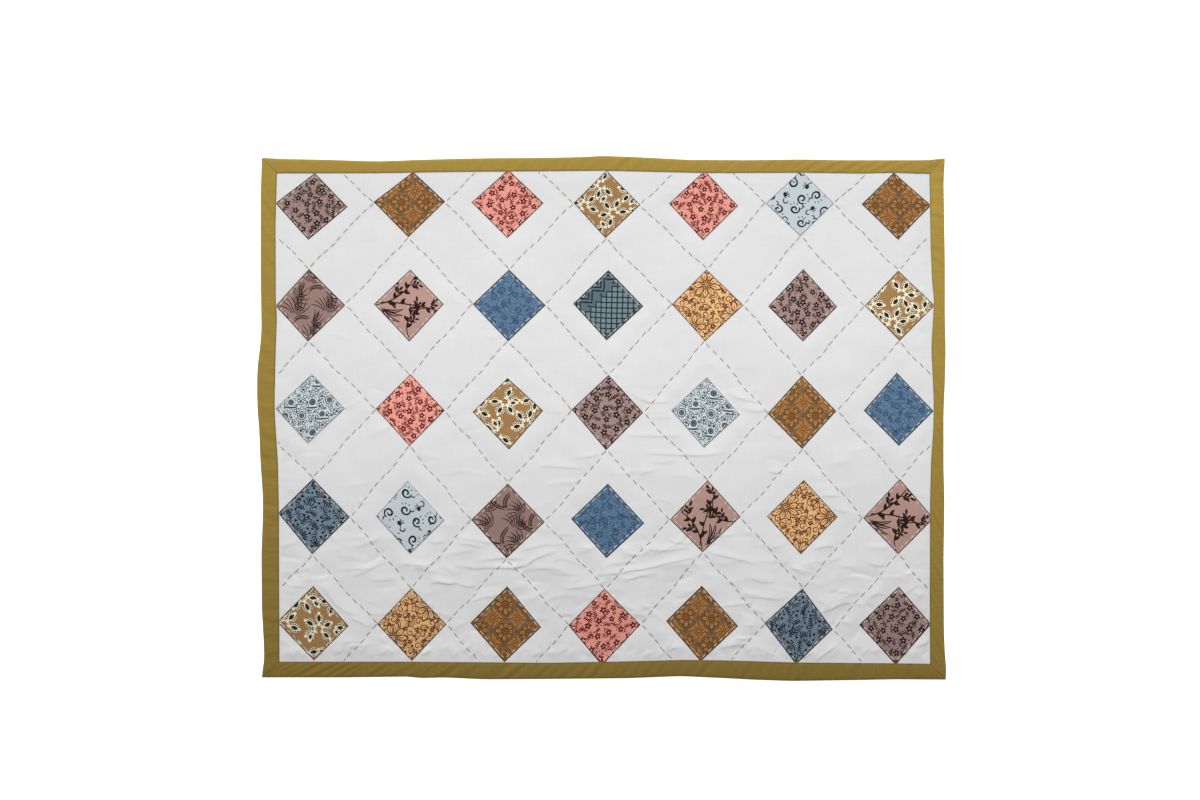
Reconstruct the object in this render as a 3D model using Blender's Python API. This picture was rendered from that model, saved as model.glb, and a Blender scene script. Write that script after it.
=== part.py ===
"""A hand-quilted cot quilt, lying flat with its printed side up.

Metres, +Z up. The long side runs along X and the quilt's top edge is towards +Y.
The origin is in the middle of the outline, on the surface that the quilt lies on.

Patches are counted on a grid: u is the column, 1 to 7 from the left, and v is the row,
1 to 5 from the top. Patches stand on a corner, so their sides and the quilting lines
run along the grid's diagonals, a = u + v and b = u - v.
"""

import bmesh
import bpy
import numpy as np

MM = 0.001

# Outline, over its furthest waves
WIDTH = 1310 * MM
DEPTH = 998 * MM

# Layers, up from the surface that the quilt lies on
CLOTH = 1.0 * MM
GAP = 0.3 * MM
SEWN_TOP = 4.3 * MM
RIM_BOTTOM = CLOTH + GAP

# Crown of the filling over the sewn lines
PATCH_CROWN = 1.6 * MM
BAND_CROWN = 2.0 * MM
OPEN_CROWN = 2.4 * MM
CROWN_REACH = 0.12  # grid units from a sewn line to the full crown
UNEVEN = 0.45 * MM

# Patch grid
COLUMNS = range(1, 8)
ROWS = range(1, 6)
HALF_PATCH = 0.35  # half a patch's diagonal, in grid units
COLUMN_X = [x * MM for x in (-551, -364, -178, 9, 195, 379, 561)]
ROW_Y = [y * MM for y in (405, 214, 17, -186, -391)]
LOW_U, HIGH_U = 1 - HALF_PATCH, 7 + HALF_PATCH
LOW_V, HIGH_V = 1 - HALF_PATCH, 5 + HALF_PATCH

# How far each hand-set row has slipped sideways at its first and last patch
ROW_SLIP = {
    # row: (at the left, at the right)
    1: (0 * MM, -2 * MM),
    2: (-2 * MM, 5 * MM),
    3: (-1 * MM, 2 * MM),
    4: (4 * MM, 0 * MM),
    5: (4 * MM, -6 * MM),
}

# The two lower middle rows sag towards the quilt's bottom edge
SAG = 7 * MM
SAG_U, SAG_V = 3.7, 3.6
SAG_REACH_U, SAG_REACH_V = 1.5, 0.9

# Edge waves: how far the line lies inside the outline's box, in millimetres, at places
# along the side. Outline is the binding's folded edge and seam is its sewn inner edge.
OUTLINE = {
    # side: ((place, inset), ...)
    "top": (
        (-646, 4), (-613, 6), (-547, 7), (-433, 10.5), (-336, 7), (-231, 4.6), (-125, 3.8),
        (-49, 2.5), (-1, 0), (56, 2), (162, 7.4), (280, 8.2), (379, 6.7), (449, 8.2),
        (620, 8.2), (652, 4.8),
    ),
    "bottom": (
        (-646, 6.8), (-501, 6.8), (-368, 8.4), (-357, 5.3), (-306, 6.8), (-230, 3.2),
        (-110, 3.8), (48, 5.3), (147, 9.3), (244, 4.8), (280, 2.7), (360, 0), (497, 2),
        (557, 3.2), (653, 2.7),
    ),
    "left": (
        (-492, 9), (-467, 13.5), (-436, 12.9), (-366, 9), (-262, 8.2), (-201, 10.6),
        (-155, 11.2), (-79, 6), (-18, 3.8), (12, 1), (42, 0), (81, 0), (103, 1.5),
        (139, 6), (170, 8.4), (276, 6.8), (428, 6.8), (495, 9),
    ),
    "right": (
        (-495, 1.5), (-480, 0), (-450, 3), (-404, 4.8), (-265, 5.5), (-157, 3.8), (-96, 5.5),
        (12, 5.5), (71, 3), (132, 1.5), (196, 3), (303, 3), (457, 5.5), (495, 3),
    ),
}
SEAM = {
    "top": (
        (-617, 34), (-425, 33.5), (-297, 31.5), (-193, 30.4), (4, 28.9), (203, 33.3),
        (387, 32.7), (496, 34.4), (557, 32.7), (622, 35.2),
    ),
    "bottom": (
        (-611, 37.4), (-366, 37.4), (-245, 36.5), (-97, 35.5), (42, 38), (162, 41),
        (249, 39.7), (373, 35.9), (557, 34.4), (624, 33.5),
    ),
    "left": (
        (-461, 43.3), (-262, 42.4), (-186, 42.4), (-79, 40.3), (-34, 36.9), (12, 34.2),
        (42, 34.2), (134, 36.3), (194, 38.4), (225, 36.3), (367, 35.7), (464, 38.4),
    ),
    "right": (
        (-465, 31.9), (-360, 32.5), (-157, 31.9), (-79, 30), (-22, 25.7), (33, 24.7),
        (132, 29.5), (225, 24.1), (257, 27.9), (333, 31), (464, 33.1),
    ),
}
MEAN_SEAM = {"top": 32 * MM, "bottom": 37 * MM, "left": 38 * MM, "right": 30 * MM}
SOFTEN = 12 * MM

# Main creases: soft ridges from one end to the other, in millimetres
CREASES = (
    # (x, y) of one end, (x, y) of the other, height, half width
    ((-26, -303), (156, -277), 2.4, 15),
    ((56, -273), (187, -262), 1.8, 14),
    ((-231, -273), (-100, -281), 1.8, 14),
    ((-402, -282), (-347, -273), 1.5, 14),
    ((-321, -309), (-275, -315), 1.4, 13),
    ((207, -256), (295, -277), 1.7, 14),
    ((265, -292), (325, -298), 1.3, 13),
    ((33, -32), (131, -32), 1.6, 14),
    ((18, -66), (139, -77), 1.6, 14),
    ((86, 31), (131, 6), 1.2, 13),
    ((263, 33), (316, 8), 1.2, 13),
)

# Across the binding, as shares of its width from the folded edge to the seam
BODY_RIM = 0.11
FOOT = 1.1
BINDING_SECTION = (
    # (share, height): up the outside of the fold, and back along its inside
    (0.975, 0.0 * MM),
    (0.09, 0.0 * MM),
    (0.0, 1.6 * MM),
    (0.0, 4.0 * MM),
    (0.09, SEWN_TOP + GAP + CLOTH),
    (0.975, SEWN_TOP + GAP + CLOTH),
    (0.975, SEWN_TOP + GAP),
    (0.07, SEWN_TOP + GAP),
    (0.035, 3.9 * MM),
    (0.035, 1.7 * MM),
    (0.07, CLOTH),
    (0.975, CLOTH),
)
STATIONS_PER_UNIT = 6
MITRE_GAP = 0.22 * MM  # taken off each strip along its length

# Prints by row, from the left
PATCH_PRINTS = (
    "mauve_ditsy rust_medallion coral_ditsy tan_petal coral_ditsy pale_swirl rust_medallion",
    "mauve_foliage pink_vine denim_tone teal_grid apricot_floral mauve_ditsy tan_petal",
    "pale_floral coral_ditsy tan_petal mauve_ditsy pale_floral rust_medallion denim_tone",
    "slate_ditsy pale_swirl mauve_foliage denim_tone pink_vine apricot_floral pink_vine",
    "tan_petal apricot_floral rust_medallion coral_ditsy rust_medallion slate_ditsy mauve_ditsy",
)
COTTON_COLOURS = {
    # name: linear red, green, blue
    "ground_cotton": (0.79, 0.79, 0.79),
    "binding_cotton": (0.38, 0.26, 0.06),
    "mauve_ditsy": (0.21, 0.13, 0.12),
    "rust_medallion": (0.28, 0.13, 0.05),
    "coral_ditsy": (0.60, 0.21, 0.17),
    "tan_petal": (0.43, 0.32, 0.19),
    "pale_swirl": (0.49, 0.55, 0.57),
    "mauve_foliage": (0.23, 0.13, 0.12),
    "pink_vine": (0.38, 0.22, 0.19),
    "denim_tone": (0.09, 0.17, 0.27),
    "teal_grid": (0.11, 0.16, 0.18),
    "apricot_floral": (0.55, 0.30, 0.13),
    "pale_floral": (0.35, 0.41, 0.43),
    "slate_ditsy": (0.11, 0.15, 0.20),
}
COTTON_ROUGHNESS = 0.9


def clear_scene():
    for thing in list(bpy.data.objects):
        bpy.data.objects.remove(thing)


def inset(rows, where):
    """An edge line's inset at a place along its side, its corners softened."""
    near = where + SOFTEN * np.array([-1.0, -0.5, 0.0, 0.5, 1.0])
    places = [row[0] * MM for row in rows]
    insets = [row[1] * MM for row in rows]
    return float(np.interp(near, places, insets).mean())


U_STOPS = [LOW_U, *COLUMNS, HIGH_U]
X_STOPS = [MEAN_SEAM["left"] - WIDTH / 2, *COLUMN_X, WIDTH / 2 - MEAN_SEAM["right"]]
V_STOPS = [LOW_V, *ROWS, HIGH_V]
Y_STOPS = [DEPTH / 2 - MEAN_SEAM["top"], *ROW_Y, MEAN_SEAM["bottom"] - DEPTH / 2]


def fade(units):
    """1 at a side of the grid, falling to 0 one column or row further in."""
    return max(0.0, 1.0 - units) ** 2


def row_slip(u, v):
    """How far a point has slipped sideways with its row. Nothing slips at the seams."""
    at_left = np.interp(v, list(ROW_SLIP), [slip[0] for slip in ROW_SLIP.values()])
    at_right = np.interp(v, list(ROW_SLIP), [slip[1] for slip in ROW_SLIP.values()])
    slip = np.interp(u, [1, 7], [at_left, at_right])
    to_seam = min(u - LOW_U, HIGH_U - u) / HALF_PATCH
    return slip * min(1.0, max(0.0, to_seam))


def row_sag(u, v):
    across = ((u - SAG_U) / SAG_REACH_U) ** 2
    down = ((v - SAG_V) / SAG_REACH_V) ** 2
    return SAG * np.exp(-across - down)


def place(u, v):
    """Where a grid point lies on the quilt, as x and y."""
    x, y = np.interp(u, U_STOPS, X_STOPS), np.interp(v, V_STOPS, Y_STOPS)
    wave_left = inset(SEAM["left"], y) - MEAN_SEAM["left"]
    wave_right = inset(SEAM["right"], y) - MEAN_SEAM["right"]
    wave_top = inset(SEAM["top"], x) - MEAN_SEAM["top"]
    wave_bottom = inset(SEAM["bottom"], x) - MEAN_SEAM["bottom"]
    shift_x = fade(u - LOW_U) * wave_left - fade(HIGH_U - u) * wave_right + row_slip(u, v)
    shift_y = fade(HIGH_V - v) * wave_bottom - fade(v - LOW_V) * wave_top - row_sag(u, v)
    return x + shift_x, y + shift_y


def corner(end_x, end_y):
    """An outline corner. end_x and end_y are -1 or 1."""
    side_x, side_y = ("left", "right")[end_x > 0], ("bottom", "top")[end_y > 0]
    inset_x = inset(OUTLINE[side_x], end_y * DEPTH / 2)
    inset_y = inset(OUTLINE[side_y], end_x * WIDTH / 2)
    return end_x * (WIDTH / 2 - inset_x), end_y * (DEPTH / 2 - inset_y)


def outline_point(u, v):
    """The folded edge beside a grid point that lies on one of the grid's sides."""
    share_x = (u - LOW_U) / (HIGH_U - LOW_U)
    share_y = (HIGH_V - v) / (HIGH_V - LOW_V)
    box_x, box_y = WIDTH * (share_x - 0.5), DEPTH * (share_y - 0.5)
    if min(share_x, 1 - share_x) < min(share_y, 1 - share_y):
        end = 1 if share_x > 0.5 else -1
        low, high = corner(end, -1), corner(end, 1)
        x = end * (WIDTH / 2 - inset(OUTLINE[("left", "right")[end > 0]], box_y))
        return x, low[1] + (high[1] - low[1]) * share_y
    end = 1 if share_y > 0.5 else -1
    low, high = corner(-1, end), corner(1, end)
    y = end * (DEPTH / 2 - inset(OUTLINE[("bottom", "top")[end > 0]], box_x))
    return low[0] + (high[0] - low[0]) * share_x, y


def edge_point(u, v, share):
    """A point across the binding: share 0 is the folded edge and 1 is the seam."""
    outer, inner = outline_point(u, v), place(u, v)
    return tuple(o + share * (i - o) for o, i in zip(outer, inner))


def crown(u, v):
    """How far the filling stands above the sewn lines round a grid point."""
    off_odd = [abs((way - 1) % 2) for way in (u + v, u - v)]
    off_odd = [min(off, 2 - off) for off in off_odd]
    off_even = [1 - off for off in off_odd]
    inside = [HALF_PATCH - off for off in off_odd]
    if min(inside) > 0:
        height, reach = PATCH_CROWN, min(inside)
    elif max(inside) > 0:
        height, reach = BAND_CROWN, min(abs(off) for off in inside)
    elif max(off_even) < HALF_PATCH:
        height, reach = PATCH_CROWN, HALF_PATCH - max(off_even)
    else:
        to_band = 1 - HALF_PATCH - max(off_even)
        height, reach = OPEN_CROWN, min(to_band, max(off_even) - HALF_PATCH)
    share = min(1.0, max(0.0, reach) / CROWN_REACH)
    return height * (1 - (1 - share) ** 2)


def crease_height(x, y):
    """The height of the soft creases at a point."""
    total = 0.0
    for start, end, height, half_width in CREASES:
        start, end = MM * np.array(start), MM * np.array(end)
        run = end - start
        along = np.dot(np.array([x, y]) - start, run) / np.dot(run, run)
        nearest = start + run * min(1.0, max(0.0, along))
        away = np.hypot(x - nearest[0], y - nearest[1]) / (half_width * MM)
        total += height * MM * np.exp(-away ** 2)
    return total


def unevenness(x, y):
    """Broad, shallow waves over the whole quilt."""
    return UNEVEN * (np.sin(9 * x + 14 * y + 1) + np.sin(17 * x - 8 * y)) / 2


def top_height(u, v):
    """The top of the filled body. It comes down to the sewn height at the seams."""
    x, y = place(u, v)
    to_seam = min(u - LOW_U, HIGH_U - u, v - LOW_V, HIGH_V - v)
    share = min(1.0, max(0.0, to_seam) / CROWN_REACH)
    return SEWN_TOP + share * (crown(u, v) + crease_height(x, y) + unevenness(x, y) + UNEVEN)


def mesh_lines(first, last):
    """Mesh lines along one diagonal: patch sides, thirds of a patch and mid gaps."""
    third = HALF_PATCH / 3
    steps = (-third, third, HALF_PATCH, 0.5, 1 - HALF_PATCH)
    return [whole + step for whole in range(first, last + 1) for step in steps]


def grid_faces(shape, a_lines, b_lines, wanted):
    """Triangles between diagonal lines, flat in the grid, where wanted(u, v) holds."""
    corners = {}

    def vertex(i, j):
        if (i, j) not in corners:
            a, b = a_lines[i], b_lines[j]
            corners[i, j] = shape.verts.new(((a + b) / 2, (a - b) / 2, 0))
        return corners[i, j]

    for i in range(len(a_lines) - 1):
        for j in range(len(b_lines) - 1):
            a = (a_lines[i] + a_lines[i + 1]) / 2
            b = (b_lines[j] + b_lines[j + 1]) / 2
            if not wanted((a + b) / 2, (a - b) / 2):
                continue
            low, high = vertex(i, j), vertex(i + 1, j + 1)
            shape.faces.new((low, high, vertex(i + 1, j)))
            shape.faces.new((low, vertex(i, j + 1), high))


def trim_to_seams(shape):
    """Cuts the grid off at the four seams and leaves triangles only."""
    cuts = (
        ((LOW_U, 0, 0), (-1, 0, 0)),
        ((HIGH_U, 0, 0), (1, 0, 0)),
        ((0, LOW_V, 0), (0, -1, 0)),
        ((0, HIGH_V, 0), (0, 1, 0)),
    )
    for point, outwards in cuts:
        everything = [*shape.verts, *shape.edges, *shape.faces]
        bmesh.ops.bisect_plane(
            shape, geom=everything, dist=1e-5, plane_co=point, plane_no=outwards, clear_outer=True
        )
    bmesh.ops.triangulate(shape, faces=[face for face in shape.faces if len(face.verts) > 3])


def rim_loop(shape):
    """The grid's border vertices in order."""
    border = [edge for edge in shape.edges if len(edge.link_faces) == 1]
    first = border[0].link_loops[0]
    loop, step = [], first
    while True:
        loop.append(step.vert)
        step = step.link_loop_next
        while not step.edge.is_boundary:
            step = step.link_loop_radial_next.link_loop_next
        if step is first:
            return loop


def bridge(shape, upper, lower):
    """Triangles from one ring of vertices to the next."""
    for i, (top, bottom) in enumerate(zip(upper, lower)):
        next_top, next_bottom = upper[(i + 1) % len(upper)], lower[(i + 1) % len(lower)]
        shape.faces.new((top, bottom, next_top))
        shape.faces.new((next_top, bottom, next_bottom))


def cotton(name):
    """The plain material of one cloth."""
    found = bpy.data.materials.get(name)
    if found:
        return found
    made = bpy.data.materials.new(name)
    made.use_nodes = True
    shader = made.node_tree.nodes["Principled BSDF"]
    shader.inputs["Base Color"].default_value = (*COTTON_COLOURS[name], 1)
    shader.inputs["Roughness"].default_value = COTTON_ROUGHNESS
    shader.inputs["Metallic"].default_value = 0
    return made


def add_piece(name, shape, cloth):
    """Makes an object of a finished shape."""
    bmesh.ops.recalc_face_normals(shape, faces=shape.faces)
    mesh = bpy.data.meshes.new(name)
    shape.to_mesh(mesh)
    shape.free()
    mesh.materials.append(cotton(cloth))
    bpy.context.scene.collection.objects.link(bpy.data.objects.new(name, mesh))


def add_body():
    """Top, filling and backing as one filled solid, thinned where the binding holds it."""
    shape = bmesh.new()
    margin = 0.5

    def near(u, v):
        in_columns = LOW_U - margin < u < HIGH_U + margin
        return in_columns and LOW_V - margin < v < HIGH_V + margin

    a_lines = mesh_lines(int(LOW_U + LOW_V) - 1, int(HIGH_U + HIGH_V) + 1)
    b_lines = mesh_lines(int(LOW_U - HIGH_V) - 2, int(HIGH_U - LOW_V) + 1)
    grid_faces(shape, a_lines, b_lines, near)
    trim_to_seams(shape)
    seam = rim_loop(shape)
    grid_places = {vertex: (vertex.co.x, vertex.co.y) for vertex in shape.verts}
    seam_places = [grid_places[vertex] for vertex in seam]
    for vertex, (u, v) in grid_places.items():
        vertex.co = (*place(u, v), top_height(u, v))
    above = seam
    for share, height in ((BODY_RIM, SEWN_TOP), (BODY_RIM, RIM_BOTTOM), (1, RIM_BOTTOM), (FOOT, 0)):
        ring = [shape.verts.new((*edge_point(u, v, share), height)) for u, v in seam_places]
        bridge(shape, above, ring)
        above = ring
    bottom = shape.faces.new(above)
    bmesh.ops.triangulate(shape, faces=[bottom])
    add_piece("quilt_body", shape, "ground_cotton")


def add_patch(row, column, print_name):
    """One printed square, lying on the body's own facets."""
    shape = bmesh.new()
    third = HALF_PATCH / 3
    steps = (-HALF_PATCH, -third, third, HALF_PATCH)
    a_lines = [column + row + step for step in steps]
    b_lines = [column - row + step for step in steps]
    grid_faces(shape, a_lines, b_lines, lambda u, v: True)
    upper = rim_loop(shape)
    below = {}
    for vertex in list(shape.verts):
        u, v = vertex.co.x, vertex.co.y
        x, y = place(u, v)
        low = top_height(u, v) + GAP
        below[vertex] = shape.verts.new((x, y, low))
        vertex.co = (x, y, low + CLOTH)
    for face in list(shape.faces):
        shape.faces.new([below[vertex] for vertex in reversed(face.verts)])
    bridge(shape, upper, [below[vertex] for vertex in upper])
    add_piece(f"patch_r{row}_c{column}", shape, print_name)


def side_stations(side):
    """Grid points along one side, clockwise round the quilt, with one at each patch corner."""
    across = side in ("top", "bottom")
    low, high = (LOW_U, HIGH_U) if across else (LOW_V, HIGH_V)
    count = len(COLUMNS) if across else len(ROWS)
    inner = [1 + step / STATIONS_PER_UNIT for step in range((count - 1) * STATIONS_PER_UNIT + 1)]
    places = [low, (low + 1) / 2, *inner, (high + count) / 2, high]
    if side in ("bottom", "left"):
        places.reverse()
    fixed = {"top": LOW_V, "bottom": HIGH_V, "left": LOW_U, "right": HIGH_U}[side]
    return [(along, fixed) if across else (fixed, along) for along in places]


def close_end(shape, ring):
    """Closes an end of a strip, between the outside of its fold and the inside."""
    half = len(ring) // 2
    outer, inner = ring[:half], ring[half:][::-1]
    for i in range(half - 1):
        shape.faces.new((outer[i], outer[i + 1], inner[i + 1]))
        shape.faces.new((outer[i], inner[i + 1], inner[i]))


def add_binding(side):
    """One folded strip of binding, open towards the quilt and mitred at its ends."""
    shape = bmesh.new()
    axis = 0 if side in ("top", "bottom") else 1
    onwards = MITRE_GAP if side in ("top", "left") else -MITRE_GAP
    stations = side_stations(side)
    pulls = [onwards, *[0] * (len(stations) - 2), -onwards]
    rings = []
    for (u, v), pull in zip(stations, pulls):
        ring = []
        for share, height in BINDING_SECTION:
            point = [*edge_point(u, v, share), height]
            point[axis] += pull
            ring.append(shape.verts.new(point))
        rings.append(ring)
    for ring, following in zip(rings, rings[1:]):
        bridge(shape, ring, following)
    close_end(shape, rings[0])
    close_end(shape, rings[-1])
    add_piece(f"binding_{side}", shape, "binding_cotton")


def main():
    clear_scene()
    add_body()
    for row, prints in zip(ROWS, PATCH_PRINTS):
        for column, print_name in zip(COLUMNS, prints.split()):
            add_patch(row, column, print_name)
    for side in ("top", "bottom", "left", "right"):
        add_binding(side)


main()
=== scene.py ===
"""Looks of a hand-quilted cot quilt, lying flat with its printed side up.

Metres, +Z up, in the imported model's frame. Patches are counted on a grid: u is the column,
1 to 7 from the left, and v is the row, 1 to 5 from the top. Their sides and the quilting
lines run along the grid's diagonals, a = u + v and b = u - v. Printed motifs are drawn in
millimetres from the middle of their square, x to the right and y up.
"""

import bmesh
import bpy
import numpy as np
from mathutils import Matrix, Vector, geometry, kdtree


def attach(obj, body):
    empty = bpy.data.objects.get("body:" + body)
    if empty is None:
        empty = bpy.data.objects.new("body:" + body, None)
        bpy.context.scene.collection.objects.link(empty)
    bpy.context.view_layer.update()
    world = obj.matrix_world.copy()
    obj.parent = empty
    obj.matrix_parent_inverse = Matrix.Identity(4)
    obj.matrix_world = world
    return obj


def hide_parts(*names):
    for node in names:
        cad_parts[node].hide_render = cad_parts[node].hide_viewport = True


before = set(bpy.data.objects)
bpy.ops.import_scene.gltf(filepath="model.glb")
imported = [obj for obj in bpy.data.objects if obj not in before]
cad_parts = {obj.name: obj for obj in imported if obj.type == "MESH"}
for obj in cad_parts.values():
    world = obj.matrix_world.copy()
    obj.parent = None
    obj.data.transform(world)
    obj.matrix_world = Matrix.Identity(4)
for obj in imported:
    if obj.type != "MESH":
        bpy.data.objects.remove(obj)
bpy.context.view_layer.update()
MM = 0.001

# Outline, over its furthest waves, and layers up from the surface
WIDTH = 1310 * MM
DEPTH = 998 * MM
SEWN_TOP = 4.3 * MM
RIM_BOTTOM = 1.3 * MM
FILLING_BOTTOM = 1.0 * MM

# Crown of the filling over the sewn lines
PATCH_CROWN = 1.1 * MM
BAND_CROWN = 1.1 * MM
OPEN_CROWN = 1.3 * MM
CROWN_REACH = 0.33  # grid units from a sewn line to the full crown
SEAM_REACH = 0.12
UNEVEN = 0.45 * MM

# Patch grid
COLUMNS = range(1, 8)
ROWS = range(1, 6)
HALF_PATCH = 0.35  # half a patch's diagonal, in grid units
COLUMN_X = [x * MM for x in (-551, -364, -178, 9, 195, 379, 561)]
ROW_Y = [y * MM for y in (405, 214, 17, -186, -391)]
LOW_U, HIGH_U = 1 - HALF_PATCH, 7 + HALF_PATCH
LOW_V, HIGH_V = 1 - HALF_PATCH, 5 + HALF_PATCH
GRID_LOW, GRID_HIGH = np.array((LOW_U, LOW_V)), np.array((HIGH_U, HIGH_V))
UNIT = 136 * MM  # from one diagonal to the next

# How far each hand-set row has slipped sideways at its first and last patch
ROW_SLIP = {
    # row: (at the left, at the right)
    1: (0 * MM, -2 * MM),
    2: (-2 * MM, 5 * MM),
    3: (-1 * MM, 2 * MM),
    4: (4 * MM, 0 * MM),
    5: (4 * MM, -6 * MM),
}
SAG = 7 * MM
SAG_U, SAG_V = 3.7, 3.6
SAG_REACH_U, SAG_REACH_V = 1.5, 0.9

# Edge waves in millimetres: how far the line lies inside the outline's box
OUTLINE = {
    # side: ((place, inset), ...)
    "top": (
        (-646, 4), (-613, 6), (-547, 7), (-433, 10.5), (-336, 7), (-231, 4.6), (-125, 3.8),
        (-49, 2.5), (-1, 0), (56, 2), (162, 7.4), (280, 8.2), (379, 6.7), (449, 8.2),
        (620, 8.2), (652, 4.8),
    ),
    "bottom": (
        (-646, 6.8), (-501, 6.8), (-368, 8.4), (-357, 5.3), (-306, 6.8), (-230, 3.2),
        (-110, 3.8), (48, 5.3), (147, 9.3), (244, 4.8), (280, 2.7), (360, 0), (497, 2),
        (557, 3.2), (653, 2.7),
    ),
    "left": (
        (-492, 9), (-467, 13.5), (-436, 12.9), (-366, 9), (-262, 8.2), (-201, 10.6),
        (-155, 11.2), (-79, 6), (-18, 3.8), (12, 1), (42, 0), (81, 0), (103, 1.5),
        (139, 6), (170, 8.4), (276, 6.8), (428, 6.8), (495, 9),
    ),
    "right": (
        (-495, 1.5), (-480, 0), (-450, 3), (-404, 4.8), (-265, 5.5), (-157, 3.8), (-96, 5.5),
        (12, 5.5), (71, 3), (132, 1.5), (196, 3), (303, 3), (457, 5.5), (495, 3),
    ),
}
SEAM = {
    "top": (
        (-617, 34), (-425, 33.5), (-297, 31.5), (-193, 30.4), (4, 28.9), (203, 33.3),
        (387, 32.7), (496, 34.4), (557, 32.7), (622, 35.2),
    ),
    "bottom": (
        (-611, 37.4), (-366, 37.4), (-245, 36.5), (-97, 35.5), (42, 38), (162, 41),
        (249, 39.7), (373, 35.9), (557, 34.4), (624, 33.5),
    ),
    "left": (
        (-461, 43.3), (-262, 42.4), (-186, 42.4), (-79, 40.3), (-34, 36.9), (12, 34.2),
        (42, 34.2), (134, 36.3), (194, 38.4), (225, 36.3), (367, 35.7), (464, 38.4),
    ),
    "right": (
        (-465, 31.9), (-360, 32.5), (-157, 31.9), (-79, 30), (-22, 25.7), (33, 24.7),
        (132, 29.5), (225, 24.1), (257, 27.9), (333, 31), (464, 33.1),
    ),
}
LEVEL_SIDES = ("top", "bottom")
MEAN_SEAM = {"top": 32 * MM, "bottom": 37 * MM, "left": 38 * MM, "right": 30 * MM}
SOFTEN = 12 * MM

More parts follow.
